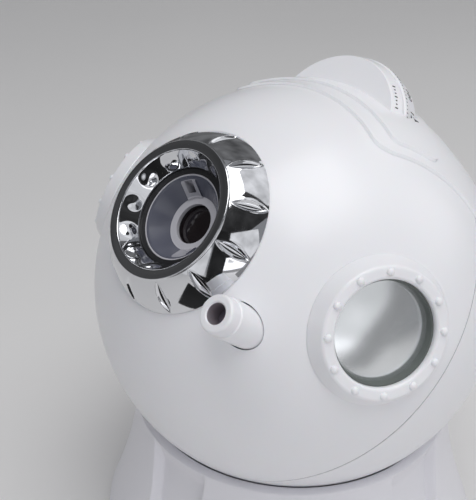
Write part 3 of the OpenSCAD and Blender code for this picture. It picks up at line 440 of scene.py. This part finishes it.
def ringProfile(ring):
    # rows of (radius, height, form, millimetres up the form)
    rise = ring["frontZ"] - ring["outerRound"] - ring["baseZ"]
    run = ring["baseR"] - ring["frontR"]
    slope = math.hypot(rise, run)
    rows = []
    for i in range(ring["slopeRows"] + 1):
        t = i / ring["slopeRows"]
        bulge = ring["slopeBulge"] * 4 * t * (1 - t)
        rows.append((ring["baseR"] - run * t + bulge * rise / slope,
                     ring["baseZ"] + rise * t + bulge * run / slope, "slope", slope * (t - 0.5)))
    for i in range(1, ring["roundRows"] + 1):
        a = math.radians(90 * i / ring["roundRows"])
        rows.append((ring["frontR"] - ring["outerRound"] * (1 - math.cos(a)),
                     ring["frontZ"] - ring["outerRound"] * (1 - math.sin(a)), "", 0))
    for i in range(ring["roundRows"] + 1):
        a = math.radians(90 + 90 * i / ring["roundRows"])
        rows.append((ring["lipR"] + ring["innerRound"] * (1 + math.cos(a)),
                     ring["frontZ"] - ring["innerRound"] * (1 - math.sin(a)), "", 0))
    lipZ = ring["frontZ"] - ring["innerRound"]
    dish = math.hypot(ring["lipR"] - ring["dishR"], lipZ - ring["dishZ"])
    for i in range(1, ring["dishRows"] + 1):
        t = i / ring["dishRows"]
        rows.append((ring["lipR"] - (ring["lipR"] - ring["dishR"]) * t, lipZ - (lipZ - ring["dishZ"]) * t,
                     "dish", dish * (t - 0.5)))
    inside = [(ring["dishR"], ring["dishZ"] - ring["dishFoot"]), (ring["dishR"], ring["sleeveTop"]),
              (ring["sleeveR"], ring["sleeveTop"]), (ring["sleeveR"], ring["sleeveLow"]),
              (ring["spigotInR"], ring["spigotRoot"]), (ring["spigotInR"], ring["spigotEnd"]),
              (ring["spigotR"], ring["spigotEnd"])]
    rows += [(r, z, "", 0) for r, z in inside]
    for i in range(ring["seatRows"] + 1):
        r = ring["spigotR"] + (ring["baseR"] - ring["baseRound"] - ring["spigotR"]) * i / ring["seatRows"]
        rows.append((r, math.sqrt(ring["seatR"] ** 2 - r * r), "", 0))
    return rows


def fluteAt(ring, along, across):
    half = ring["fluteLength"] / 2
    if abs(along) < half:
        leaf = 1 - (along / half) ** 2
        width = ring["fluteWidth"] / 2 * leaf ** 0.8
        outside = abs(across) - width
        depth = ring["fluteDepth"] * leaf ** 0.5 * (1 - (across / width) ** 2) if outside < 0 else 0.0
    else:
        outside = math.hypot(across, abs(along) - half)
        depth = 0.0
    return ring["fluteLip"] * math.exp(-(outside / ring["lipSpread"]) ** 2) - depth


def domeAt(ring, along, across):
    away = math.hypot(along, across)
    if away >= ring["domeR"]:
        return 0.0
    return ring["domeRise"] * math.cos(math.pi * away / (2 * ring["domeR"])) ** 2


def turnedMesh(name, rows, anglesAt, spotAt, place, sharp=50):
    # a closed turning: spotAt gives a point's radius and height from its row, outward normal and angle
    points, faces = [], []
    for i, row in enumerate(rows):
        before, after = rows[i - 1], rows[(i + 1) % len(rows)]
        normal = Vector((after[1] - before[1], before[0] - after[0])).normalized()
        angles = anglesAt(row)
        for angle in angles:
            r, z = spotAt(row, normal, angle)
            a = math.radians(angle)
            points.append(place @ (Vector((r * math.cos(a), r * math.sin(a), z)) * millimetre))
    count = len(angles)
    for i in range(len(rows)):
        j = (i + 1) % len(rows)
        for k in range(count):
            n = (k + 1) % count
            faces.append((i * count + k, i * count + n, j * count + n, j * count + k))
    mesh = bpy.data.meshes.new(name)
    mesh.from_pydata(points, [], faces)
    closeInto(mesh, [mesh])
    mesh.shade_smooth()
    mesh.set_sharp_from_angle(angle=math.radians(sharp))
    return mesh


def evenAngles(count):
    angles = [360 * k / count for k in range(count)]
    return lambda row: angles


def plainSpot(row, normal, angle):
    return row[0], row[1]


def ringAngles(ring):
    # fine columns across each flute, coarser ones between
    pitch = 360 / ring["count"]
    half, fine, coarse = 4.0, 20, 22  # degrees each side of a flute's middle, and columns in each stretch
    steps = [k * half / fine for k in range(-fine, fine + 1)]
    steps += [half + (pitch - 2 * half) * k / coarse for k in range(1, coarse)]
    angles = [ring["phase"] + pitch * sector + step for sector in range(ring["count"]) for step in steps]
    return lambda row: angles


def ringSpot(ring):
    pitch = 360 / ring["count"]

    def spotAt(row, normal, angle):
        turn = (angle - ring["phase"] + pitch / 2) % pitch - pitch / 2
        lift = 0.0
        if row[2] == "slope":
            lift = fluteAt(ring, row[3], row[0] * math.radians(turn))
        elif row[2] == "dish":
            lift = domeAt(ring, row[3], row[0] * math.radians(turn - math.copysign(pitch / 2, turn)))
        return row[0] + normal.x * lift, row[1] + normal.y * lift
    return spotAt


chromeRing = linkPiece("chromeRing", turnedMesh("chromeRing", ringProfile(focusRing), ringAngles(focusRing),
                                                ringSpot(focusRing), toBall), "platedAbs")
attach(chromeRing, "focus")
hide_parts("focus_ring")
print("focus ring turned,", len(chromeRing.data.polygons), "faces")

# Stand: a flared turning under the cup. Wide legs, and between them panels that lie in behind a rounded step
stand = {
    "rimR": 66.61, "rimZ": 69.82, "footR": 82.5, "footLip": 5.0, "low": 1.5, "power": 1.6,
    "cupR": 81.5, "lipR": 80.45, "lipDegrees": 2.4, "wall": 2.6, "baseR": 63.0, "lidZ": 4.5,
    "legs": 4, "legTurn": 48.0, "panelTop": 13.0, "panelFoot": 7.4,  # half angles of a panel
    "panelDepth": 4.5, "panelHead": 1 / 6, "step": 1.5, "stepOut": 0.5, "rimRound": 0.5, "footRound": 0.8,
    "baseGap": 0.2, "baseLap": 3.0, "cavityDrop": 16.0,
    "rows": 40, "rimRows": 2, "footRows": 3, "wellRows": 12, "cupRows": 24, "lipRows": 3,
}


def standProfile(sizes):
    # rows of (radius, height, share of the way down the outside)
    rise = sizes["rimZ"] - sizes["low"] - sizes["footLip"]
    rows = []
    for i in range(sizes["rimRows"] + 1):
        a = math.radians(90 - 90 * i / sizes["rimRows"])
        rows.append((sizes["rimR"] - sizes["rimRound"] * (1 - math.cos(a)),
                     sizes["rimZ"] - sizes["rimRound"] * (1 - math.sin(a)), 0.0))
    for i in range(1, sizes["rows"] + 1):
        t = i / sizes["rows"]
        rows.append((sizes["rimR"] + (sizes["footR"] - sizes["rimR"]) * t ** sizes["power"],
                     sizes["rimZ"] - rise * t, t))
    for i in range(sizes["footRows"] + 1):
        a = math.radians(90 * i / sizes["footRows"])
        rows.append((sizes["footR"] - sizes["footRound"] * (1 - math.cos(a)),
                     sizes["low"] + sizes["footRound"] * (1 - math.sin(a)), 1.0))
    seatR, wellR = sizes["baseR"] + sizes["baseGap"], sizes["baseR"] - sizes["baseLap"]
    rows += [(seatR, sizes["low"], -1), (seatR, sizes["lidZ"], -1), (wellR, sizes["lidZ"], -1),
             (wellR, sizes["rimZ"] - sizes["cavityDrop"], -1)]
    centreZ = ball["centre"][2] / millimetre
    outer = sizes["cupR"] + sizes["wall"]
    start = math.asin(wellR / outer)
    end = math.acos((centreZ - sizes["rimZ"]) / sizes["lipR"])
    lip = end - math.radians(sizes["lipDegrees"])

    def arc(r, angles):
        return [(r * math.sin(a), centreZ - r * math.cos(a), -1) for a in angles]

    well, cup, fold = sizes["wellRows"], sizes["cupRows"], sizes["lipRows"]
    rows += arc(outer, [start * (1 - i / well) for i in range(1, well + 1)])
    rows += arc(sizes["cupR"], [lip * i / cup for i in range(cup + 1)])
    rows += arc(sizes["lipR"], [lip + (end - lip) * i / fold for i in range(1, fold + 1)])
    return rows


def panelHalf(sizes, share):
    return sizes["panelTop"] + (sizes["panelFoot"] - sizes["panelTop"]) * max(share, 0.0)


def standAngles(sizes):
    # columns follow the panels' edges down the stand
    quarter = 180 / sizes["legs"]
    shares = [0.25, 0.5, 0.75]
    steps = [-2.0, -1.6, -1.3, -1.0, -0.7, -0.4, -0.1, 0.2, 0.5, 0.9]  # millimetres across a panel's edge
    legColumns = 14
    smallR = 20  # nearer the axis the columns no longer follow the edges

    def anglesAt(row):
        edge = panelHalf(sizes, row[2])
        degree = math.degrees(1 / max(row[0], smallR))
        side = [edge + step * degree for step in steps]
        inner = [side[0] * share for share in shares]
        outer = [side[-1] + (quarter - side[-1]) * k / legColumns for k in range(1, legColumns)]
        half = inner + side + outer
        columns = [-angle for angle in reversed(half)] + [0.0] + half + [quarter]
        return [sizes["legTurn"] + quarter + 2 * quarter * leg + column for leg in range(sizes["legs"])
                for column in columns]
    return anglesAt


def standSpot(sizes):
    quarter = 180 / sizes["legs"]

    def spotAt(row, normal, angle):
        if row[2] < 0:
            return row[0], row[1]
        away = abs((angle - sizes["legTurn"]) % (2 * quarter) - quarter)  # degrees from the panel's middle
        beyond = math.radians(away - panelHalf(sizes, row[2])) * row[0]
        s = min(max((beyond + sizes["step"]) / (sizes["step"] + sizes["stepOut"]), 0.0), 1.0)
        sunk = sizes["panelDepth"] * min(1.0, row[2] / sizes["panelHead"]) * (1 - s * s * (3 - 2 * s))
        return row[0] - sunk, row[1]
    return spotAt


standShell = linkPiece("standShell", turnedMesh("standShell", standProfile(stand), standAngles(stand),
                                                standSpot(stand), Matrix()), "satinAbs")
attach(standShell, "stand")
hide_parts("stand_body")
print("stand turned,", len(standShell.data.polygons), "faces")

# Porthole windows: two domed discs, each on its seat in the collar
window = {
    "r": 16.7, "seatR": 17.15, "height": 76.9, "bulge": 1.6, "thick": 1.6, "rollDrop": 0.02, "rings": 30,
    "columns": 96, "sharp": 30,
}


def windowProfile(sizes):
    dome = (sizes["r"] ** 2 + sizes["bulge"] ** 2) / (2 * sizes["bulge"])
    top = sizes["height"] + sizes["bulge"] - dome
    rows = [(0.0, sizes["height"] - sizes["thick"]), (0.0, sizes["height"] + sizes["bulge"])]
    radii = [sizes["r"] * i / sizes["rings"] for i in range(1, sizes["rings"] + 1)]
    rows += [(r, top + math.sqrt(dome ** 2 - r ** 2)) for r in radii]
    rows += [(sizes["seatR"], sizes["height"] - sizes[drop]) for drop in ("rollDrop", "thick")]
    return rows


def portMatrix(side):
    return toBall @ Matrix.Rotation(math.radians(side * ball["portAngle"]), 4, "Y")


windowMesh = joinMeshes("portWindows", [turnedMesh("portWindow", windowProfile(window),
                                                   evenAngles(window["columns"]), plainSpot, portMatrix(side),
                                                   window["sharp"]) for side in (1, -1)])
windowMesh.shade_smooth()
windowMesh.set_sharp_from_angle(angle=math.radians(window["sharp"]))
portWindows = linkPiece("portWindows", windowMesh, "metallisedAcrylic")
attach(portWindows, "ball")
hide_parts("porthole_windows")
print("porthole windows turned")


def startTree(name, inputs):
    # a node tree with named sizes, and a place for its result
    tree = bpy.data.node_groups.new(name, "GeometryNodeTree")
    tree.interface.new_socket("Geometry", in_out="OUTPUT", socket_type="NodeSocketGeometry")
    for socketName, value in inputs.items():
        kind = "NodeSocketInt" if isinstance(value, int) else "NodeSocketFloat"
        tree.interface.new_socket(socketName, in_out="INPUT", socket_type=kind)
    return tree, addNode(tree, "NodeGroupInput").outputs


def endTree(tree, geometry, finish):
    # turns the result into the ball's frame, makes it real and gives it its material
    placed = addNode(tree, "GeometryNodeTransform", {"Geometry": geometry, "Translation": ball["centre"],
                                                     "Rotation": lensTurn})
    real = addNode(tree, "GeometryNodeRealizeInstances", {"Geometry": placed.outputs["Geometry"]})
    dressed = addNode(tree, "GeometryNodeSetMaterial", {"Geometry": real.outputs["Geometry"],
                                                        "Material": materials[finish]})
    addNode(tree, "NodeGroupOutput", {"Geometry": dressed.outputs["Geometry"]})


def meshFromTree(name, tree, inputs):
    maker = bpy.data.objects.new(name, bpy.data.meshes.new(name))
    scene.collection.objects.link(maker)
    modifier = maker.modifiers.new("maker", "NODES")
    modifier.node_group = tree
    for item in tree.interface.items_tree:
        if item.in_out == "INPUT":
            modifier[item.identifier] = inputs[item.name]
    mesh = bpy.data.meshes.new_from_object(maker.evaluated_get(bpy.context.evaluated_depsgraph_get()))
    maker.modifiers.remove(modifier)
    bpy.data.objects.remove(maker)
    return mesh


# Porthole rivets: low domes on both collars, twelve on each
rivets = {
    "Count": 12,
    "Ring Radius": 20.5 * millimetre,
    "Head Radius": 1.4 * millimetre,
    "Head Rise": 1.1 * millimetre,
    "Head Floor": -0.25 * millimetre,
    "Face Height": 81.8 * millimetre,
    "Port Angle": math.radians(ball["portAngle"]),
}


def rivetTree(inputs, finish):
    tree, given = startTree("rivetRings", inputs)
    head = addNode(tree, "GeometryNodeMeshUVSphere", {"Segments": 24, "Rings": 16, "Radius": 1.0})
    size = vectorOf(tree, given["Head Radius"], given["Head Radius"], given["Head Rise"])
    domed = addNode(tree, "GeometryNodeTransform", {"Geometry": head.outputs["Mesh"], "Scale": size})
    # the underside is cut off flat a little below the collar's face
    axes = axesOf(tree, addNode(tree, "GeometryNodeInputPosition").outputs["Position"])
    lifted = vectorOf(tree, axes["X"], axes["Y"], calculate(tree, "MAXIMUM", axes["Z"], given["Head Floor"]))
    flat = addNode(tree, "GeometryNodeSetPosition", {"Geometry": domed.outputs["Geometry"],
                                                     "Position": lifted})
    smooth = addNode(tree, "GeometryNodeSetShadeSmooth", {"Geometry": flat.outputs["Geometry"]})
    circle = addNode(tree, "GeometryNodeMeshCircle", {"Vertices": given["Count"],
                                                      "Radius": given["Ring Radius"]})
    row = addNode(tree, "GeometryNodeInstanceOnPoints", {"Points": circle.outputs["Mesh"],
                                                         "Instance": smooth.outputs["Geometry"]})
    raised = addNode(tree, "GeometryNodeTransform", {"Geometry": row.outputs["Instances"],
                                                     "Translation": vectorOf(tree, z=given["Face Height"])})
    both = addNode(tree, "GeometryNodeJoinGeometry")
    for side in (1.0, -1.0):
        lean = vectorOf(tree, y=calculate(tree, "MULTIPLY", given["Port Angle"], side))
        port = addNode(tree, "GeometryNodeTransform", {"Geometry": raised.outputs["Geometry"],
                                                       "Rotation": lean})
        feed(tree, both, {"Geometry": port.outputs["Geometry"]})
    endTree(tree, both.outputs["Geometry"], finish)
    return tree


rivetHeads = linkPiece("rivetHeads", meshFromTree("rivetHeads", rivetTree(rivets, "glossAbs"), rivets), None)
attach(rivetHeads, "ball")
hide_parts("porthole_rivets")
print("rivets:", rivets["Count"] * 2)

# Marks of the timer: ticks round the dial's rim and on the cheek's cone. Plain bars, with some longer ones
dialTicks = {
    "Count": 49, "Start": math.radians(-72), "Step": math.radians(3.0), "Every": 4,
    "Radius": 29.52 * millimetre, "Height": 27.6 * millimetre, "Lean": 0.0,
    "Bar": 1.1 * millimetre, "Width": 0.24 * millimetre, "Proud": 0.10 * millimetre, "Shorter By": 0.45,
}
cheekTicks = {
    "Count": 7, "Start": math.radians(41), "Step": math.radians(3.2), "Every": 3,
    "Radius": 27.66 * millimetre, "Height": 32.9 * millimetre, "Lean": math.radians(21.3),
    "Bar": 1.3 * millimetre, "Width": 0.42 * millimetre, "Proud": 0.10 * millimetre, "Shorter By": 0.45,
}
dialUp = 58.7 * millimetre


def tickTree(name, inputs, finish):
    tree, given = startTree(name, inputs)
    index = addNode(tree, "GeometryNodeInputIndex").outputs["Index"]
    turned = calculate(tree, "MULTIPLY_ADD", index, given["Step"], given["Start"])
    aside = calculate(tree, "MULTIPLY", calculate(tree, "SINE", turned), given["Radius"])
    above = calculate(tree, "MULTIPLY_ADD", calculate(tree, "COSINE", turned), given["Radius"], dialUp)
    points = addNode(tree, "GeometryNodePoints", {"Count": given["Count"],
                                                  "Position": vectorOf(tree, aside, above, given["Height"])})
    facing = vectorOf(tree, given["Lean"], z=calculate(tree, "MULTIPLY", turned, -1.0))
    aim = addNode(tree, "FunctionNodeEulerToRotation", {"Euler": facing})
    short = calculate(tree, "GREATER_THAN", calculate(tree, "MODULO", index, given["Every"]), 0.5)
    reach = calculate(tree, "SUBTRACT", 1.0, calculate(tree, "MULTIPLY", short, given["Shorter By"]))
    size = vectorOf(tree, given["Width"], given["Proud"], given["Bar"])
    bar = addNode(tree, "GeometryNodeMeshCube", {"Size": size})
    row = addNode(tree, "GeometryNodeInstanceOnPoints",
                  {"Points": points.outputs["Points"], "Instance": bar.outputs["Mesh"],
                   "Rotation": aim.outputs["Rotation"], "Scale": vectorOf(tree, 1.0, 1.0, reach)})
    endTree(tree, row.outputs["Instances"], finish)
    return tree


for name, sizes, body in (("dialScale", dialTicks, "dial"), ("cheekScale", cheekTicks, "ball")):
    scale = linkPiece(name, meshFromTree(name, tickTree(name, sizes, "printingInk"), sizes), None)
    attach(scale, body)

# Numbers on the dial's rim, in minutes, and the pointer on the plate that they are read against
dialNumbers = {
    "rimR": 29.5, "height": 4.0, "ink": 0.06, "middle": 23.4,
    "labels": {"0": -60, "20": -40, "40": -20, "60": 0, "80": 20, "100": 40, "120": 60},
}
pointer = {"plateR": 81.8, "aside": (26.9, 28.9), "halfWidth": 1.2, "forward": 24.4, "ink": 0.05}


def numberMesh(label, angle, sizes):
    text = bpy.data.curves.new(label, "FONT")
    text.body = label
    text.size = sizes["height"]
    text.extrude = sizes["ink"]
    text.align_x, text.align_y = "CENTER", "CENTER"
    text.resolution_u = 3
    holder = bpy.data.objects.new(label, text)
    scene.collection.objects.link(holder)
    mesh = bpy.data.meshes.new_from_object(holder.evaluated_get(bpy.context.evaluated_depsgraph_get()))
    bpy.data.objects.remove(holder)
    for vertex in mesh.vertices:
        a = math.radians(angle) + vertex.co.x / sizes["rimR"]
        r = sizes["rimR"] + vertex.co.z
        spot = Vector((r * math.sin(a), dialUp / millimetre + r * math.cos(a), sizes["middle"] - vertex.co.y))
        vertex.co = toBall @ (spot * millimetre)
    return mesh


numbers = linkPiece("dialNumbers", joinMeshes("dialNumbers", [numberMesh(label, angle, dialNumbers)
                    for label, angle in dialNumbers["labels"].items()]), "printingInk")
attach(numbers, "dial")


def pointerMesh(name, sizes):
    # a triangle laid on the plate, its tip towards the dial
    tip, back = sizes["aside"]
    corners = [(tip, 0.0), (back, sizes["halfWidth"]), (back, -sizes["halfWidth"])]
    points = []
    for lift in (-sizes["ink"], sizes["ink"]):
        for x, off in corners:
            r, z = sizes["plateR"] + lift, sizes["forward"] + off
            points.append(toBall @ (Vector((x, math.sqrt(r * r - x * x - z * z), z)) * millimetre))
    mesh = bpy.data.meshes.new(name)
    mesh.from_pydata(points, [], [(0, 1, 2), (3, 5, 4), (0, 3, 4, 1), (1, 4, 5, 2), (2, 5, 3, 0)])
    return joinMeshes(name, [mesh])


mark = linkPiece("plateMark", pointerMesh("plateMark", pointer), "printingInk")
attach(mark, "ball")
print("dial printed")


# Studio: pale floor and wall, soft lights, and the cards and flags that the chrome shows
def paperSweep():
    material, tree, shader, place = startMaterial("paperSweep", {"Specular IOR Level": 0.3,
                                                                 "Roughness": 0.75})
    tint = blended(tree, noise(tree, place, 250, 2.0), linearColour("#e4e3e2"), linearColour("#e8e7e6"))
    feed(tree, shader, {"Base Color": tint})
    return material


# A card lit unevenly from behind, or a black flag where its tone is low
def cardPaper(name, tone, uneven):
    material, tree, shader, place = startMaterial(
        name + "Paper", {"Specular IOR Level": 0.0, "Roughness": 1.0, "Base Color": linearColour("#000000"),
                         "Emission Color": linearColour("#f7f8fb")})
    glow = ranged(tree, noise(tree, place, 250, 2.0), (0.3, 0.7), (tone * (1 - uneven), tone * (1 + uneven)))
    feed(tree, shader, {"Emission Strength": glow})
    return material


studio = {
    "floorHalf": 3.0,
    "wallDistance": 1.6,
    "sweepRadius": 0.5,
    "sweepSteps": 12,
    "lights": [
        {"name": "keyLight", "position": (0.25, -0.05, 1.25),
         "size": (0.9, 0.9), "watts": 8.0, "hex": "#ffffff"},
        {"name": "sideLight", "position": (0.95, -0.35, 0.30),
         "size": (0.7, 0.5), "watts": 1.5, "hex": "#fbfbff"},
        {"name": "frontLight", "position": (0.05, -0.95, 0.75),
         "size": (0.6, 0.5), "watts": 0.4, "hex": "#fbfbff"},
        {"name": "rimLight", "position": (0.5, 0.75, 0.55),
         "size": (0.5, 0.5), "watts": 0.7, "hex": "#ffffff"},
    ],
    "ringCentre": (0.0, -0.06, 0.175),
    "windowCentre": (0.068, -0.029, 0.146),
    # seen in reflections only: azimuth and elevation from what they are for, width and height in degrees
    "cards": [
        {"name": "flagLeft", "at": "ringCentre", "azimuth": -143, "elevation": 30,
         "span": (56, 48), "roll": 0, "tone": 0.06, "uneven": 0.3},
        {"name": "flagBack", "at": "ringCentre", "azimuth": 130, "elevation": 24,
         "span": (46, 76), "roll": 8, "tone": 0.15, "uneven": 0.7},
        {"name": "softBack", "at": "ringCentre", "azimuth": 76, "elevation": 51,
         "span": (54, 30), "roll": -6, "tone": 0.80, "uneven": 0.3},
        {"name": "flagTop", "at": "ringCentre", "azimuth": 5, "elevation": 45,
         "span": (70, 34), "roll": 6, "tone": 0.035, "uneven": 0.5},
        {"name": "softRight", "at": "ringCentre", "azimuth": -8, "elevation": 14,
         "span": (34, 32), "roll": -12, "tone": 0.80, "uneven": 0.3},
        {"name": "flagFront", "at": "ringCentre", "azimuth": -37, "elevation": 10,
         "span": (17, 52), "roll": -12, "tone": 0.02, "uneven": 0.5},
        {"name": "softLeft", "at": "ringCentre", "azimuth": -66, "elevation": 6,
         "span": (34, 36), "roll": -10, "tone": 0.75, "uneven": 0.2},
        {"name": "flagFloor", "at": "ringCentre", "azimuth": -54, "elevation": -34,
         "span": (26, 42), "roll": -16, "tone": 0.02, "uneven": 0.5},
        {"name": "flagSide", "at": "windowCentre", "azimuth": 1, "elevation": 0,
         "span": (54, 15), "roll": 38, "tone": 0.26, "uneven": 0.2, "distance": 0.5},
    ],
    "cardDistance": 0.9,
    "cardReach": 0.95,  # share of the way down to the floor that a card may take
    "worldHex": "#cfd1d6",
    "worldStrength": 0.42,
}


def cardMesh(name, size):
    x, y = size[0] / 2, size[1] / 2
    mesh = bpy.data.meshes.new(name)
    mesh.from_pydata([(-x, -y, 0), (x, -y, 0), (x, y, 0), (-x, y, 0)], [], [(0, 1, 2, 3)])
    return mesh


def sweepMesh(name):
    # floor, quarter bend and wall, across the camera's heading
    heading = Vector((camera["forward"][0], camera["forward"][1], 0)).normalized()
    side = Vector((heading.y, -heading.x, 0))
    bend = studio["sweepRadius"]
    line = [(-studio["floorHalf"], 0.0), (studio["wallDistance"] - bend, 0.0)]
    for step in range(1, studio["sweepSteps"] + 1):
        angle = math.radians(90 * step / studio["sweepSteps"])
        line.append((studio["wallDistance"] - bend + bend * math.sin(angle), bend - bend * math.cos(angle)))
    line.append((studio["wallDistance"], studio["floorHalf"]))
    points, faces = [], []
    for along, height in line:
        for across in (-studio["floorHalf"], studio["floorHalf"]):
            points.append(heading * along + side * across + Vector((0, 0, height)))
    for i in range(len(line) - 1):
        faces.append((2 * i, 2 * i + 1, 2 * i + 3, 2 * i + 2))
    mesh = bpy.data.meshes.new(name)
    mesh.from_pydata(points, [], faces)
    mesh.shade_smooth()
    return mesh


def addStage(name, mesh, material):
    thing = bpy.data.objects.new(name, mesh)
    thing.data.materials.append(material)
    scene.collection.objects.link(thing)
    return thing


addStage("sweep", sweepMesh("sweep"), paperSweep())
for card in studio["cards"]:
    azimuth, elevation = math.radians(card["azimuth"]), math.radians(card["elevation"])
    centre = Vector(studio[card["at"]])
    toCard = Vector((math.cos(elevation) * math.cos(azimuth), math.cos(elevation) * math.sin(azimuth),
                     math.sin(elevation)))
    lowest = math.sin(math.radians(max(card["span"][1] / 2 - card["elevation"], 1)))
    away = min(card.get("distance", studio["cardDistance"]), studio["cardReach"] * centre.z / lowest)
    size = [2 * away * math.tan(math.radians(span) / 2) for span in card["span"]]
    board = addStage(card["name"], cardMesh(card["name"], size),
                     cardPaper(card["name"], card["tone"], card["uneven"]))
    roll = Matrix.Rotation(math.radians(card["roll"]), 4, "Z")
    board.matrix_world = lookAlong(centre + away * toCard, -toCard) @ roll
    board.visible_camera = board.visible_diffuse = board.visible_shadow = board.visible_transmission = False
for light in studio["lights"]:
    data = bpy.data.lights.new(light["name"], "AREA")
    data.shape = "RECTANGLE"
    data.size, data.size_y = light["size"]
    data.energy = light["watts"]
    data.color = linearColour(light["hex"])[:3]
    lamp = bpy.data.objects.new(light["name"], data)
    scene.collection.objects.link(lamp)
    lamp.matrix_world = lookAlong(light["position"], Vector(ball["centre"]) - Vector(light["position"]))
world = bpy.data.worlds.new("studioAir")
scene.world = world
world.use_nodes = True
feed(world.node_tree, world.node_tree.nodes["Background"], {"Color": linearColour(studio["worldHex"]),
                                                            "Strength": studio["worldStrength"]})
scene.view_settings.view_transform = "Standard"
scene.view_settings.look = "None"
print("studio lit with", len(studio["lights"]), "soft lights")
